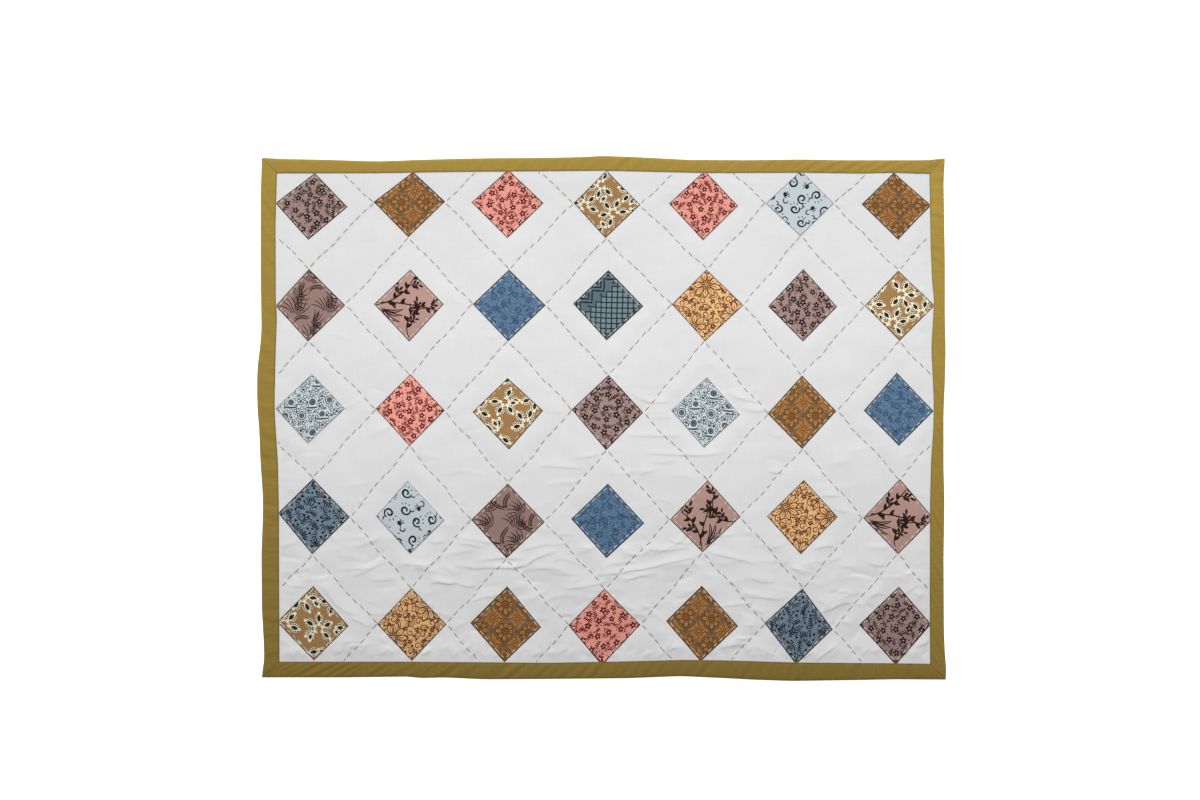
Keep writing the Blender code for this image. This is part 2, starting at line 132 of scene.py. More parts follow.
# Creases in millimetres: ridges, or troughs where the height is below 0
CREASES = (
    # height, half width, points (x, y) from one end to the other
    (2.2, 5, (-260, -281), (-243, -285), (-202, -283), (-168, -284), (-145, -279), (-124, -265),
     (-104, -257), (-80, -252)),
    (1.5, 5, (-243, -275), (-219, -268), (-189, -265), (-162, -267), (-141, -268)),
    (2.2, 5, (-18, -299), (7, -296), (34, -294), (51, -289), (78, -286), (102, -281), (122, -275),
     (146, -270), (166, -266), (183, -262)),
    (1.5, 5, (-78, -324), (-51, -322), (-30, -319), (-7, -314), (9, -308)),
    (1.2, 5, (34, -314), (51, -306), (71, -299), (95, -296), (112, -294)),
    (1.5, 5, (37, -259), (58, -260), (78, -258), (92, -250), (126, -251), (146, -247), (170, -246)),
    (1.1, 4.5, (126, -231), (139, -235), (156, -237), (170, -238)),
    (1.1, 6, (-4, -287), (20, -276), (51, -273), (70, -275)),
    (1.5, 5, (198, -252), (214, -257), (242, -263), (267, -269), (297, -278)),
    (1.1, 5, (255, -335), (272, -333), (299, -335)),
    (2.4, 5, (-326, -313), (-311, -310), (-292, -314), (-270, -311)),
    (1.4, 4.5, (-275, -314), (-253, -319), (-238, -318)),
    (1.5, 5, (-395, -286), (-376, -277), (-355, -278), (-331, -281), (-311, -268), (-300, -256)),
    (1.1, 5, (-498, -288), (-467, -286), (-443, -285), (-423, -277), (-396, -268)),
    (1.2, 5, (-475, -300), (-450, -291), (-428, -281)),
    (1.1, 5, (-442, -309), (-416, -307), (-387, -304)),
    (1.4, 6, (-603, -315), (-582, -319), (-558, -319)),
    (1.2, 5, (-545, -309), (-528, -323), (-505, -353), (-484, -369), (-458, -373)),
    (1.2, 5, (-480, -379), (-457, -387), (-441, -398)),
    (1.1, 5, (-499, -428), (-477, -423), (-456, -424)),
    (0.8, 5, (-427, -413), (-408, -429)),
    (1.1, 5, (-330, -235), (-318, -236), (-294, -233)),
    (1.2, 5, (-276, -237), (-250, -239), (-224, -245)),
    (1.1, 5, (-160, -253), (-135, -246), (-107, -239), (-91, -240), (-62, -236)),
    (0.8, 7, (-108, -283), (-91, -272), (-77, -254)),
    (0.8, 5, (-113, -286), (-91, -294), (-64, -296), (-36, -296)),
    (0.7, 4.5, (-86, -221), (-54, -221)),
    (0.7, 4.5, (-49, -245), (-16, -247)),
    (1.1, 5, (-259, -351), (-226, -340), (-208, -336)),
    (-1.4, 7, (-109, -352), (-112, -380), (-110, -408), (-112, -440)),
    (-1.2, 7, (110, -350), (112, -376), (109, -404)),
    (0.7, 5, (86, -310), (84, -334), (86, -360)),
    (-0.8, 6, (-270, -374), (-271, -404)),
    (0.8, 5, (-248, -416), (-246, -443)),
    (0.8, 5, (-312, -418), (-311, -443)),
    (0.8, 6, (35, -342), (52, -358)),
    (1.1, 5, (-80, -376), (-54, -370)),
    (1.5, 5, (222, -436), (245, -431), (267, -430)),
    (1.4, 5, (250, -417), (272, -419), (284, -413)),
    (1.1, 5, (124, -439), (146, -434), (158, -435)),
    (1.5, 5, (401, -249), (416, -244), (445, -241)),
    (1.1, 4.5, (414, -147), (457, -147)),
    (0.8, 5, (428, -163), (450, -174), (479, -181)),
    (1.2, 5, (282, -302), (301, -310), (330, -310)),
    (1.5, 5, (258, -341), (284, -338), (308, -340), (328, -343), (350, -342)),
    (1.1, 5, (353, -278), (376, -292), (391, -297)),
    (0.8, 5, (448, -280), (474, -282), (486, -280)),
    (1.2, 5, (505, -273), (521, -279), (544, -279)),
    (1.9, 6, (425, -367), (443, -357), (460, -350), (479, -350)),
    (1.1, 6, (408, -342), (430, -357)),
    (1.2, 5, (448, -383), (464, -388), (476, -394)),
    (1.1, 5, (508, -338), (528, -333), (544, -335)),
    (1.1, 5, (560, -288), (579, -296), (598, -293)),
    (1.1, 5, (590, -329), (606, -337), (617, -333)),
    (1.9, 5, (404, -461), (430, -442), (452, -427)),
    (1.4, 5, (381, -456), (404, -441)),
    (-1.5, 7, (469, -429), (484, -411), (492, -396)),
    (0.8, 5, (265, -393), (296, -395)),
    (1.1, 5, (282, -363), (309, -370)),
    (1.4, 5, (592, -436), (622, -424)),
    (1.2, 5, (52, 53), (72, 37), (89, 31), (132, 31)),
    (0.8, 5, (100, 11), (132, 11)),
    (0.7, 4.5, (98, 1), (139, 3)),
    (1.4, 5, (240, 50), (256, 40), (276, 35), (303, 30)),
    (1.2, 5, (264, 17), (286, 14), (306, 14), (320, 17)),
    (1.2, 5, (46, -31), (82, -33), (116, -33), (152, -33)),
    (1.4, 5, (80, -66), (116, -68), (150, -69), (184, -70), (205, -69), (238, -64)),
    (1.1, 5, (-123, -89), (-100, -91), (-74, -92), (-34, -95)),
    (1.1, 5, (-55, -75), (-33, -74), (-13, -70), (3, -66)),
    (1.1, 9, (-103, -126), (-80, -121), (-58, -123), (-36, -118)),
    (1.1, 5, (67, -107), (83, -102), (102, -99)),
    (0.8, 5, (91, -82), (116, -84), (146, -80)),
    (1.5, 5, (315, -101), (330, -103), (346, -103)),
    (0.7, 8, (-110, 13), (-74, 13)),
    (0.7, 5, (318, -31), (349, -35)),
)

# Small seeded wrinkles, in millimetres and degrees
WRINKLE_FIELDS = (
    # x from and to, y from and to, count, heading, its spread, length from and to, height
    (-612, 620, -335, -205, 84, 4, 20, 35, 105, 0.8),
    (-612, 620, -442, -335, 70, 4, 38, 25, 70, 0.8),
    (-606, 612, -457, -444, 78, 38, 14, 16, 26, 1.0),
    (-612, 620, -205, 70, 70, 2, 20, 30, 90, 0.5),
    (-612, 620, 70, 460, 70, 2, 25, 25, 70, 0.26),
    (-606, -585, -440, 440, 24, 2, 22, 22, 42, 0.6),
    (596, 614, -440, 440, 20, 2, 22, 18, 36, 0.5),
)
WRINKLE_HALF_WIDTH = 4.2
WRINKLE_WIDTHS, WRINKLE_RISES = (0.8, 1.4), (0.5, 1.5)  # from and to, times the field's own
WRINKLE_SIGNS = (-1, 1, 1, 1)  # one in four is a trough
WRINKLE_BEND = 30  # degrees either way, at the most
FOLD_SHARE = 0.3  # of a crease's height, in the broad fold that it lies on
FOLD_WIDTH = 3.0  # times the crease's half width
CREASE_SIDES = (1.5, 0.42)  # a crease's reach to the left and right of its way, in half widths
CREASE_REACH = 0.03  # grid units from the seam to the creases' full height

# Fine relief of the top cloth
PUCKER = 0.28 * MM
PUCKER_REACH = 7 * MM
RUMPLE = 0.22 * MM
RUMPLE_LENGTH = 62 * MM
RIPPLE_WAVES = 14  # waves that make up any ripple
UNEVEN_WAVES = ((9, 14, 1), (17, -8, 0))  # radians a metre along x and along y, and the start
CREASE_ROWS = (2.6, 1.7, 1.0, 0.45, 0.12, -0.1, -0.3, -0.55, -0.95)  # mesh rows, in half widths
WRINKLE_ROWS = (2.0, 0.9, 0.1, -0.35, -0.9)
CREASE_STEP = 4 * MM

# Mesh of the top cloth, in grid units
NEAR_SEWN = (0.055, 0.028, 0.012)  # mesh lines on each side of a sewn line
NARROW_LINES, WIDE_LINES = 3, 13  # mesh lines in the narrow and the wide gaps between sewn lines
A_UNITS, B_UNITS = range(0, 14), range(-6, 8)  # of the diagonals that cross the quilt
GRID_MARGIN = 0.3  # how far outside the sides a cell is still made, before they are cut
SAME_PLACE = 1e-5
CREASE_MARGIN = 0.01  # from the sides to the nearest point of a crease
CREASE_CLEAR = 0.012  # even points nearer than this to a crease's points are left out

# Backing
BACKING_STEPS = (0.05, 0.15, 0.25, 0.31, 0.35, 0.39, 0.5, 0.61, 0.65, 0.69, 0.75, 0.85, 0.95)
BACKING_LOW = 0.1 * MM
BACKING_DRAWN_UP = 0.7 * MM  # along the sewn lines
BACKING_REACH = 6 * MM

# Quilting stitches, counted between one crossing band and the next
STITCHES_BETWEEN = 10
STITCH_START, START_VARIES = 0.14, 0.12  # of a pitch, from its beginning to the thread
STITCH_SHARE, SHARE_VARIES = 0.8, 0.07  # of a pitch that shows as thread
STITCH_WANDER = (0.011, 0.007)  # grid units off the line: in a slow wave, and at random
STITCH_POINTS = 6
STUB = 0.3  # of a stitch: shorter ends at the seam are left out
SEAM_MARGIN = 0.004  # grid units from the last thread to the seam
STITCH_RISE, STITCH_DIVE = 0.55 * MM, 0.3 * MM
UNDER_SHARE = 0.4  # of that rise, on the underside
QUILTING_THREAD_RADIUS = 0.72 * MM
EDGE_THREAD_RADIUS = 0.58 * MM
THREAD_SIDES = 6
THREAD_TIP = 0.35  # of the radius, at a stitch's ends
THREAD_FLATNESS = 0.7

# Printed squares
SQUARE = 67.2  # millimetres from a square's middle to its corner
PATCH_LIFT = 1.0 * MM
TURNED_EDGE = 1.5  # width of the rounded edge in millimetres, darkened with painted shade
EDGE_RING = 0.35  # of that width inwards, where one more ring of points rounds the edge
EDGE_DROP = 0.85 * MM
CLOTH_PITCH = 4.5  # millimetres between the loose mesh points of a square
SIDE_STITCHES = 6
SIDE_STITCH_INSET = 3.9
SIDE_START, SIDE_SHARE = 0.15, (0.6, 0.74)  # of a pitch, as with the quilting stitches
SIDE_ASIDE = 0.3

# Across a binding strip, as shares of its width from the folded edge to the seam
BODY_RIM = 0.11
FOOT = 1.1
BINDING_SECTION = (
    # (share, height in millimetres, how far it ripples): outside of the fold, then inside
    (0.975, 0.0, 0), (0.955, 0.0, 0), (0.5, 0.0, 0), (0.1, 0.0, 0), (0.04, 0.35, 0),
    (0.012, 1.1, 0),
    (0.0, 2.2, 0), (0.0, 3.4, 0.1), (0.012, 4.5, 0.2), (0.045, 5.4, 0.45), (0.1, 6.0, 0.8),
    (0.2, 6.4, 1), (0.35, 6.5, 1), (0.5, 6.5, 1), (0.65, 6.4, 1), (0.8, 6.2, 0.9),
    (0.9, 5.9, 0.6), (0.955, 5.55, 0.3), (0.98, 5.1, 0.1), (0.985, 4.75, 0),
    (0.965, 4.6, 0), (0.5, 4.6, 0), (0.08, 4.6, 0), (0.055, 3.9, 0), (0.055, 1.8, 0),
    (0.08, 1.0, 0), (0.5, 1.0, 0), (0.965, 1.0, 0),
)
BINDING_STEP = 2.4 * MM
MITRE_STEPS = (0.0, 0.0006, 0.0014, 0.0026)  # shares of a side's length, close to its end
STEPS_FROM = 0.004  # where the even steps begin
BINDING_RIPPLE = 0.65 * MM
BINDING_SLANT = 30 * MM  # how far a ripple runs along the strip while it crosses it
RIPPLE_WIDTH = 30 * MM
RIPPLES = (
    # length, spread of its heading, strength
    (34 * MM, 22, 1.0),
    (13 * MM, 30, 0.5),
)
MITRE_GAP = 0.12 * MM
MITRE_DIP = 0.5 * MM
MITRE_REACH = 2 * MM
SEAM_PAINTED_SHADE, SEAM_FROM = 0.62, 0.95  # painted shade beside the seam: the brightness kept there, and the share where it starts

# How far each square's hand-sewn corners lie from their places on the grid, in millimetres
CORNER_SLIPS = {
    # (row, column): (x, y) of its right, top, left and bottom corner
    (1, 1): ((3, -3), (6, 1), (-2, 5), (-5, 1)),
    (1, 2): ((2, 7), (6, 2), (-4, 7), (-3, 6)),
    (1, 3): ((3, 3), (1, 4), (-4, 5), (-1, 4)),
    (1, 4): ((0, 0), (1, 1), (4, 3), (-2, 4)),
    (1, 5): ((1, -1), (2, 5), (-1, 3), (-3, 0)),
    (1, 6): ((0, 4), (1, 5), (-2, 4), (-2, 8)),
    (1, 7): ((3, 1), (-3, 1), (-2, 3), (2, 1)),
    (2, 1): ((0, 1), (-3, 3), (-2, -1), (-5, 1)),
    (2, 2): ((-1, 3), (1, 2), (-2, 3), (-1, 1)),
    (2, 3): ((5, 1), (2, 2), (-2, 3), (0, 2)),
    (2, 4): ((3, -1), (3, 1), (1, 4), (-1, 4)),
    (2, 5): ((7, 1), (3, 2), (1, 3), (-1, 2)),
    (2, 6): ((0, -2), (2, 3), (-2, -1), (0, 1)),
    (2, 7): ((2, 0), (-1, 0), (-3, 0), (0, 2)),
    (3, 1): ((-1, 2), (3, -1), (1, 2), (-8, 6)),
    (3, 2): ((1, 0), (1, -1), (1, 2), (-2, 3)),
    (3, 3): ((1, 2), (-1, -7), (-2, -2), (1, 0)),
    (3, 4): ((4, -2), (3, -1), (-1, 4), (-2, 0)),
    (3, 5): ((2, -8), (3, -6), (1, 1), (-2, 1)),
    (3, 6): ((1, -3), (-1, -4), (-1, -7), (0, -3)),
    (3, 7): ((0, -3), (-5, 1), (-2, -2), (1, 2)),
    (4, 1): ((3, -1), (-1, 1), (-2, 6), (-5, 0)),
    (4, 2): ((-3, -5), (-7, -1), (-3, 1), (-3, 1)),
    (4, 3): ((2, -5), (-2, -3), (-8, -3), (-5, -5)),
    (4, 4): ((5, -8), (1, -2), (-4, 1), (-1, -4)),
    (4, 5): ((3, 1), (5, 1), (-2, -2), (-4, 5)),
    (4, 6): ((5, -1), (4, -1), (-2, 1), (0, 0)),
    (4, 7): ((8, -3), (5, 0), (-1, -3), (5, 0)),
    (5, 1): ((1, -3), (-3, 1), (-5, 4), (-2, 2)),
    (5, 2): ((2, 0), (0, -2), (0, 0), (1, 1)),
    (5, 3): ((-3, -4), (-3, 2), (-8, 3), (-8, 0)),
    (5, 4): ((1, -1), (-4, -2), (-7, -1), (-8, -7)),
    (5, 5): ((3, -4), (-4, 2), (-6, 5), (-5, -3)),
    (5, 6): ((1, -8), (5, -3), (-2, 2), (-6, -4)),
    (5, 7): ((3, 2), (8, 0), (-3, 0), (4, -3)),
}

PATCH_PRINTS = (
    "mauve_ditsy rust_medallion coral_ditsy tan_petal coral_ditsy pale_swirl rust_medallion",
    "mauve_foliage pink_vine denim_tone teal_grid apricot_floral mauve_ditsy tan_petal",
    "pale_floral coral_ditsy tan_petal mauve_ditsy pale_floral rust_medallion denim_tone",
    "slate_ditsy pale_swirl mauve_foliage denim_tone pink_vine apricot_floral pink_vine",
    "tan_petal apricot_floral rust_medallion coral_ditsy rust_medallion slate_ditsy mauve_ditsy",
)

# Dyes as screen colours, red, green and blue from 0 to 255
GROUND_COTTON = (226, 226, 226)
BINDING_COTTON = (168, 140, 62)
QUILTING_THREAD = (134, 122, 96)
EDGE_THREAD = (244, 238, 224)
INKS = {
    # print: its ground, and its inks by name
    "mauve_ditsy": {"ground": (166, 138, 132), "dark": (40, 10, 4), "light": (206, 184, 178)},
    "rust_medallion": {
        "ground": (174, 120, 66), "dark": (116, 76, 34), "light": (200, 146, 88),
        "blot": (112, 92, 70),
    },
    "coral_ditsy": {"ground": (243, 162, 148), "dark": (106, 16, 0), "light": (255, 200, 188)},
    "tan_petal": {
        "ground": (166, 126, 78), "dark": (42, 34, 18), "light": (250, 238, 208),
        "mid": (196, 160, 112),
    },
    "pale_swirl": {"ground": (204, 215, 219), "dark": (26, 38, 50), "light": (220, 230, 234)},
    "mauve_foliage": {"ground": (155, 125, 118), "dark": (46, 22, 16), "light": (176, 148, 140)},
    "pink_vine": {"ground": (185, 149, 138), "dark": (40, 10, 0), "light": (208, 176, 166)},
    "denim_tone": {"ground": (93, 122, 151), "dark": (48, 76, 105), "light": (110, 139, 167)},
    "teal_grid": {"ground": (90, 110, 119), "dark": (14, 30, 38), "light": (114, 137, 143)},
    "apricot_floral": {
        "ground": (240, 190, 132), "dark": (104, 52, 10), "light": (252, 210, 160),
        "mid": (196, 138, 112),
    },
    "pale_floral": {
        "ground": (204, 215, 220), "dark": (70, 81, 90), "light": (224, 234, 239),
        "mid": (118, 130, 138),
    },
    "slate_ditsy": {"ground": (122, 140, 156), "dark": (0, 14, 30), "light": (146, 164, 180)},
}
ROW_PAINTED_SHADE = (0.93, 1.0, 0.98, 0.92, 0.85)  # painted shade: lower rows are darkened a little, as the light falls off towards the bottom
BINDING_PAINTED_SHADE = (0.6, 1.0)  # painted shade, darker towards the bottom: at the bottom edge and at the top edge
# painted light and shade: each binding strip made lighter or darker as the light falls on its side
STRIP_PAINTED_LIGHT = {"top": 1.0, "bottom": 0.96, "left": 1.0, "right": 1.12}
EDGE_PAINTED_SHADE = 0.2  # painted shade on the turned edge: how much of its brightness a print keeps there
# The pale prints keep more of their brightness in that painted shade
PALE_EDGE_PAINTED_SHADE = 0.5
PALE_PRINTS = ("pale_swirl", "pale_floral")


def linear(screen):
    """Linear red, green and blue of a screen colour, with 1 for alpha."""
    share = np.array(screen) / 255
    return (*np.where(share < 0.04045, share / 12.92, ((share + 0.055) / 1.055) ** 2.4), 1.0)


# The quilt's form


def inset(rows, where):
    """An edge line's inset at places along its side, its corners softened."""
    places = MM * np.array([row[0] for row in rows])
    insets = MM * np.array([row[1] for row in rows])
    steps = SOFTEN * np.array([-1.0, -0.5, 0.0, 0.5, 1.0])
    return np.mean([np.interp(where + step, places, insets) for step in steps], axis=0)


U_STOPS = [LOW_U, *COLUMNS, HIGH_U]
X_STOPS = [MEAN_SEAM["left"] - WIDTH / 2, *COLUMN_X, WIDTH / 2 - MEAN_SEAM["right"]]
V_STOPS = [LOW_V, *ROWS, HIGH_V]
Y_STOPS = [DEPTH / 2 - MEAN_SEAM["top"], *ROW_Y, MEAN_SEAM["bottom"] - DEPTH / 2]


def fade(units):
    """1 at a side of the grid, falling to 0 one column or row further in."""
    return np.maximum(0.0, 1.0 - units) ** 2


def row_slip(u, v):
    """How far points have slipped sideways with their row. Nothing slips at the seams."""
    at_left = np.interp(v, list(ROW_SLIP), [slip[0] for slip in ROW_SLIP.values()])
    at_right = np.interp(v, list(ROW_SLIP), [slip[1] for slip in ROW_SLIP.values()])
    slip = at_left + (at_right - at_left) * np.clip((u - 1) / 6, 0, 1)
    return slip * np.clip(np.minimum(u - LOW_U, HIGH_U - u) / HALF_PATCH, 0, 1)


def place(u, v):
    """Where grid points lie on the quilt, as x and y."""
    x, y = np.interp(u, U_STOPS, X_STOPS), np.interp(v, V_STOPS, Y_STOPS)
    wave = {
        side: inset(SEAM[side], y if side in ("left", "right") else x) - MEAN_SEAM[side]
        for side in SEAM
    }
    sag = SAG * np.exp(-(((u - SAG_U) / SAG_REACH_U) ** 2) - ((v - SAG_V) / SAG_REACH_V) ** 2)
    shift_x = fade(u - LOW_U) * wave["left"] - fade(HIGH_U - u) * wave["right"] + row_slip(u, v)
    shift_y = fade(HIGH_V - v) * wave["bottom"] - fade(v - LOW_V) * wave["top"] - sag
    return x + shift_x, y + shift_y


def corner(end_x, end_y):
    """An outline corner. end_x and end_y are -1 or 1."""
    side_x, side_y = ("left", "right")[end_x > 0], ("bottom", "top")[end_y > 0]
    inset_x = inset(OUTLINE[side_x], end_y * DEPTH / 2)
    inset_y = inset(OUTLINE[side_y], end_x * WIDTH / 2)
    return end_x * (WIDTH / 2 - inset_x), end_y * (DEPTH / 2 - inset_y)


def outline_on(side, u, v):
    """The folded edge beside grid points that lie on one side of the grid."""
    share_x = (u - LOW_U) / (HIGH_U - LOW_U)
    share_y = (HIGH_V - v) / (HIGH_V - LOW_V)
    end = 1 if side in ("right", "top") else -1
    if side in ("left", "right"):
        low, high = corner(end, -1)[1], corner(end, 1)[1]
        x = end * (WIDTH / 2 - inset(OUTLINE[side], DEPTH * (share_y - 0.5)))
        return x, low + (high - low) * share_y
    low, high = corner(-1, end)[0], corner(1, end)[0]
    y = end * (DEPTH / 2 - inset(OUTLINE[side], WIDTH * (share_x - 0.5)))
    return low + (high - low) * share_x, y


def outline_point(u, v):
    """The folded edge beside grid points that lie on any of the grid's sides."""
    to_side = {"left": u - LOW_U, "right": HIGH_U - u, "top": v - LOW_V, "bottom": HIGH_V - v}
    nearest = np.argmin(list(to_side.values()), axis=0)
    x, y = np.zeros_like(u), np.zeros_like(v)
    for number, side in enumerate(to_side):
        here = nearest == number
        x[here], y[here] = outline_on(side, u[here], v[here])
    return x, y


def across(outer, u, v, share):
    """Points across the binding: share 0 is the folded edge and 1 is the seam."""
    return [o + share * (i - o) for o, i in zip(outer, place(u, v))]


def sewn_reach(u, v):
    """The crown's height for grid points, and how far they are from a sewn line."""
    off_odd = [np.abs(way % 2 - 1) for way in (u + v, u - v)]
    inside = np.array([HALF_PATCH - aside for aside in off_odd])
    off_even = np.max([1 - aside for aside in off_odd], axis=0)
    odd_patch, band = inside.min(axis=0) > 0, inside.max(axis=0) > 0
    even_patch = off_even < HALF_PATCH
    height = np.select([odd_patch, band, even_patch], [PATCH_CROWN, BAND_CROWN, PATCH_CROWN],
                       OPEN_CROWN)
    to_line = np.abs(inside).min(axis=0)
    reach = np.select(
        [odd_patch | band, even_patch],
        [to_line, HALF_PATCH - off_even],
        np.minimum(1 - HALF_PATCH - off_even, off_even - HALF_PATCH),
    )
    return height, np.maximum(reach, 0)


def sweep(x, y, heading, length, turn, count):
    """Points along a line that turns evenly."""
    headings = np.radians(heading + turn * np.linspace(0, 1, count - 1))
    moves = np.column_stack([np.cos(headings), np.sin(headings)]) * (length / (count - 1))
    return np.vstack([(x, y), (x, y) + np.cumsum(moves, axis=0)])


def wrinkles():
    """The small wrinkles as creases: a height, a half width and points."""
    rng, found = np.random.default_rng(21), []
    for low_x, high_x, low_y, high_y, count, heading, spread, short, long, height in WRINKLE_FIELDS:
        for place_x in np.linspace(low_x, high_x, count):
            x = place_x + rng.uniform(-0.5, 0.5) * (high_x - low_x) / count
            y, length = rng.uniform(low_y, high_y), rng.uniform(short, long)
            way = heading + rng.uniform(-spread, spread)
            bend = rng.uniform(-WRINKLE_BEND, WRINKLE_BEND)
            rise = height * rng.uniform(*WRINKLE_RISES) * rng.choice(WRINKLE_SIGNS)
            wide = WRINKLE_HALF_WIDTH * rng.uniform(*WRINKLE_WIDTHS)
            found.append((rise, wide, *sweep(x - length / 2, y, way, length, bend, 4)))
    return found


def crease_profile(x, y, route, half_width):
    """A crease's share of its height, which thins out towards its ends."""
    runs = np.diff(route, axis=0)
    lengths = np.hypot(*runs.T)
    starts = np.cumsum(lengths) - lengths
    nearest, along, left = np.full_like(x, np.inf), np.zeros_like(x), np.zeros_like(x)
    for point, run, length, start in zip(route, runs, lengths, starts):
        share = ((x - point[0]) * run[0] + (y - point[1]) * run[1]) / length**2
        share = np.clip(share, 0, 1)
        away = np.hypot(x - point[0] - share * run[0], y - point[1] - share * run[1])
        along = np.where(away < nearest, start + share * length, along)
        turn = run[0] * (y - point[1]) - run[1] * (x - point[0])
        left = np.where(away < nearest, turn, left)
        nearest = np.minimum(nearest, away)
    taper = np.sin(np.pi * np.clip(along / lengths.sum(), 0.001, 0.999)) ** 0.6
    fold = FOLD_SHARE * np.exp(-((nearest / (FOLD_WIDTH * half_width)) ** 2))
    reach = half_width * np.where(left > 0, *CREASE_SIDES)
    return taper * ((1 - FOLD_SHARE) * np.exp(-((nearest / reach) ** 2)) + fold)


WRINKLES = wrinkles()


def crease_height(x, y):
    """The height of the creases and wrinkles."""
    total = np.zeros_like(x)
    for height, half_width, *route in [*CREASES, *WRINKLES]:
        route, half_width = MM * np.array(route), MM * half_width
        reach = 2.2 * FOLD_WIDTH * half_width
        (low_x, low_y), (high_x, high_y) = route.min(axis=0) - reach, route.max(axis=0) + reach
        near = (x > low_x) & (x < high_x) & (y > low_y) & (y < high_y)
        total[near] += height * MM * crease_profile(x[near], y[near], route, half_width)
    return total


def unevenness(x, y):
    """Broad, shallow waves over the whole quilt."""
    waves = [np.sin(by_x * x + by_y * y + start) for by_x, by_y, start in UNEVEN_WAVES]
    return UNEVEN * sum(waves) / len(waves)


def ripple(x, y, length, heading, spread, seed):
    """Irregular waves of about plus or minus 1 that travel within spread of a heading."""
    rng = np.random.default_rng(seed)
    total = np.zeros_like(x)
    for _ in range(RIPPLE_WAVES):
        way = np.radians(heading + rng.uniform(-spread, spread))
        turns = (x * np.cos(way) + y * np.sin(way)) / (length * rng.uniform(0.6, 1.5))
        total += np.sin(2 * np.pi * (turns + rng.uniform()))
    return total / np.sqrt(RIPPLE_WAVES)


def pucker(u, v):
    """Small gathers beside the sewn lines, one to a stitch."""
    a, b = u + v, u - v
    pitch = 2 * (1 - HALF_PATCH) / STITCHES_BETWEEN
    total = np.zeros_like(u)
    for across_way, along_way, seed in ((a, b, 3), (b, a, 4)):
        aside = np.abs(np.abs(across_way % 2 - 1) - HALF_PATCH) * UNIT
        uneven = 1 + 0.7 * ripple(u, v, 0.35, 0, 90, seed)
        turns = (along_way - 1 - HALF_PATCH) / pitch
        total += uneven * -np.cos(2 * np.pi * (turns + 0.04)) * np.exp(-aside / PUCKER_REACH)
    return PUCKER * total


def top_height(u, v):
    """The top cloth's height. It comes down to the sewn height at the seams."""
    x, y = place(u, v)
    to_seam = np.min([u - LOW_U, HIGH_U - u, v - LOW_V, HIGH_V - v], axis=0)
    share = np.clip(to_seam / SEAM_REACH, 0, 1)
    height, reach = sewn_reach(u, v)
    crown = height * (1 - (1 - np.minimum(1, reach / CROWN_REACH)) ** 2)
    rumple = RUMPLE * ripple(x, y, RUMPLE_LENGTH, 90, 55, 11)
    raised = share * (crown + unevenness(x, y) + UNEVEN + rumple + pucker(u, v))
    creased = np.clip(to_seam / CREASE_REACH, 0, 1) * crease_height(x, y)
    return SEWN_TOP + raised + creased


# Materials


def new_material(name, roughness, sheen=0.0):
    """A rough material and its shader."""
    material = bpy.data.materials.new(name)
    material.use_nodes = True
    shader = material.node_tree.nodes["Principled BSDF"]
    shader.inputs["Roughness"].default_value = roughness
    shader.inputs["Specular IOR Level"].default_value = 0.25
    shader.inputs["Sheen Weight"].default_value = sheen
    return material, shader


def noise(material, scale, low, high):
    """A noise over the object, stretched by a scale for each axis, from low to high."""
    nodes, links = material.node_tree.nodes, material.node_tree.links
    where = nodes.new("ShaderNodeTexCoord")
    mapping = nodes.new("ShaderNodeMapping")
    mapping.inputs["Scale"].default_value = scale
    texture = nodes.new("ShaderNodeTexNoise")
    texture.inputs["Scale"].default_value = 1.0
    texture.inputs["Detail"].default_value = 2.0
    spread = nodes.new("ShaderNodeMapRange")
    spread.inputs["From Min"].default_value = 0.25
    spread.inputs["From Max"].default_value = 0.75
    spread.inputs["To Min"].default_value = low
    spread.inputs["To Max"].default_value = high
    links.new(where.outputs["Object"], mapping.inputs["Vector"])
    links.new(mapping.outputs["Vector"], texture.inputs["Vector"])
    links.new(texture.outputs["Fac"], spread.inputs["Value"])
    return spread.outputs["Result"]


def join(material, kind, first, second):
    """The product or the sum of two values."""
    node = material.node_tree.nodes.new("ShaderNodeMath")
    node.operation = kind
    for socket, value in zip(node.inputs, (first, second)):
        material.node_tree.links.new(value, socket)
    return node.outputs["Value"]


def shade(material, colour, value):
    """A colour made lighter or darker by a value round 1."""
    node = material.node_tree.nodes.new("ShaderNodeVectorMath")
    node.operation = "SCALE"
    if isinstance(colour, tuple):
        node.inputs[0].default_value = colour[:3]
    else:
        material.node_tree.links.new(colour, node.inputs[0])
    material.node_tree.links.new(value, node.inputs["Scale"])
    return node.outputs["Vector"]


def attribute(material, name, output):
    """What a mesh attribute holds."""
    node = material.node_tree.nodes.new("ShaderNodeAttribute")
    node.attribute_name = name
    return node.outputs[output]


THREADS = 1500  # per metre, of the plain weave
SLUBS = 260  # thicker threads, per metre


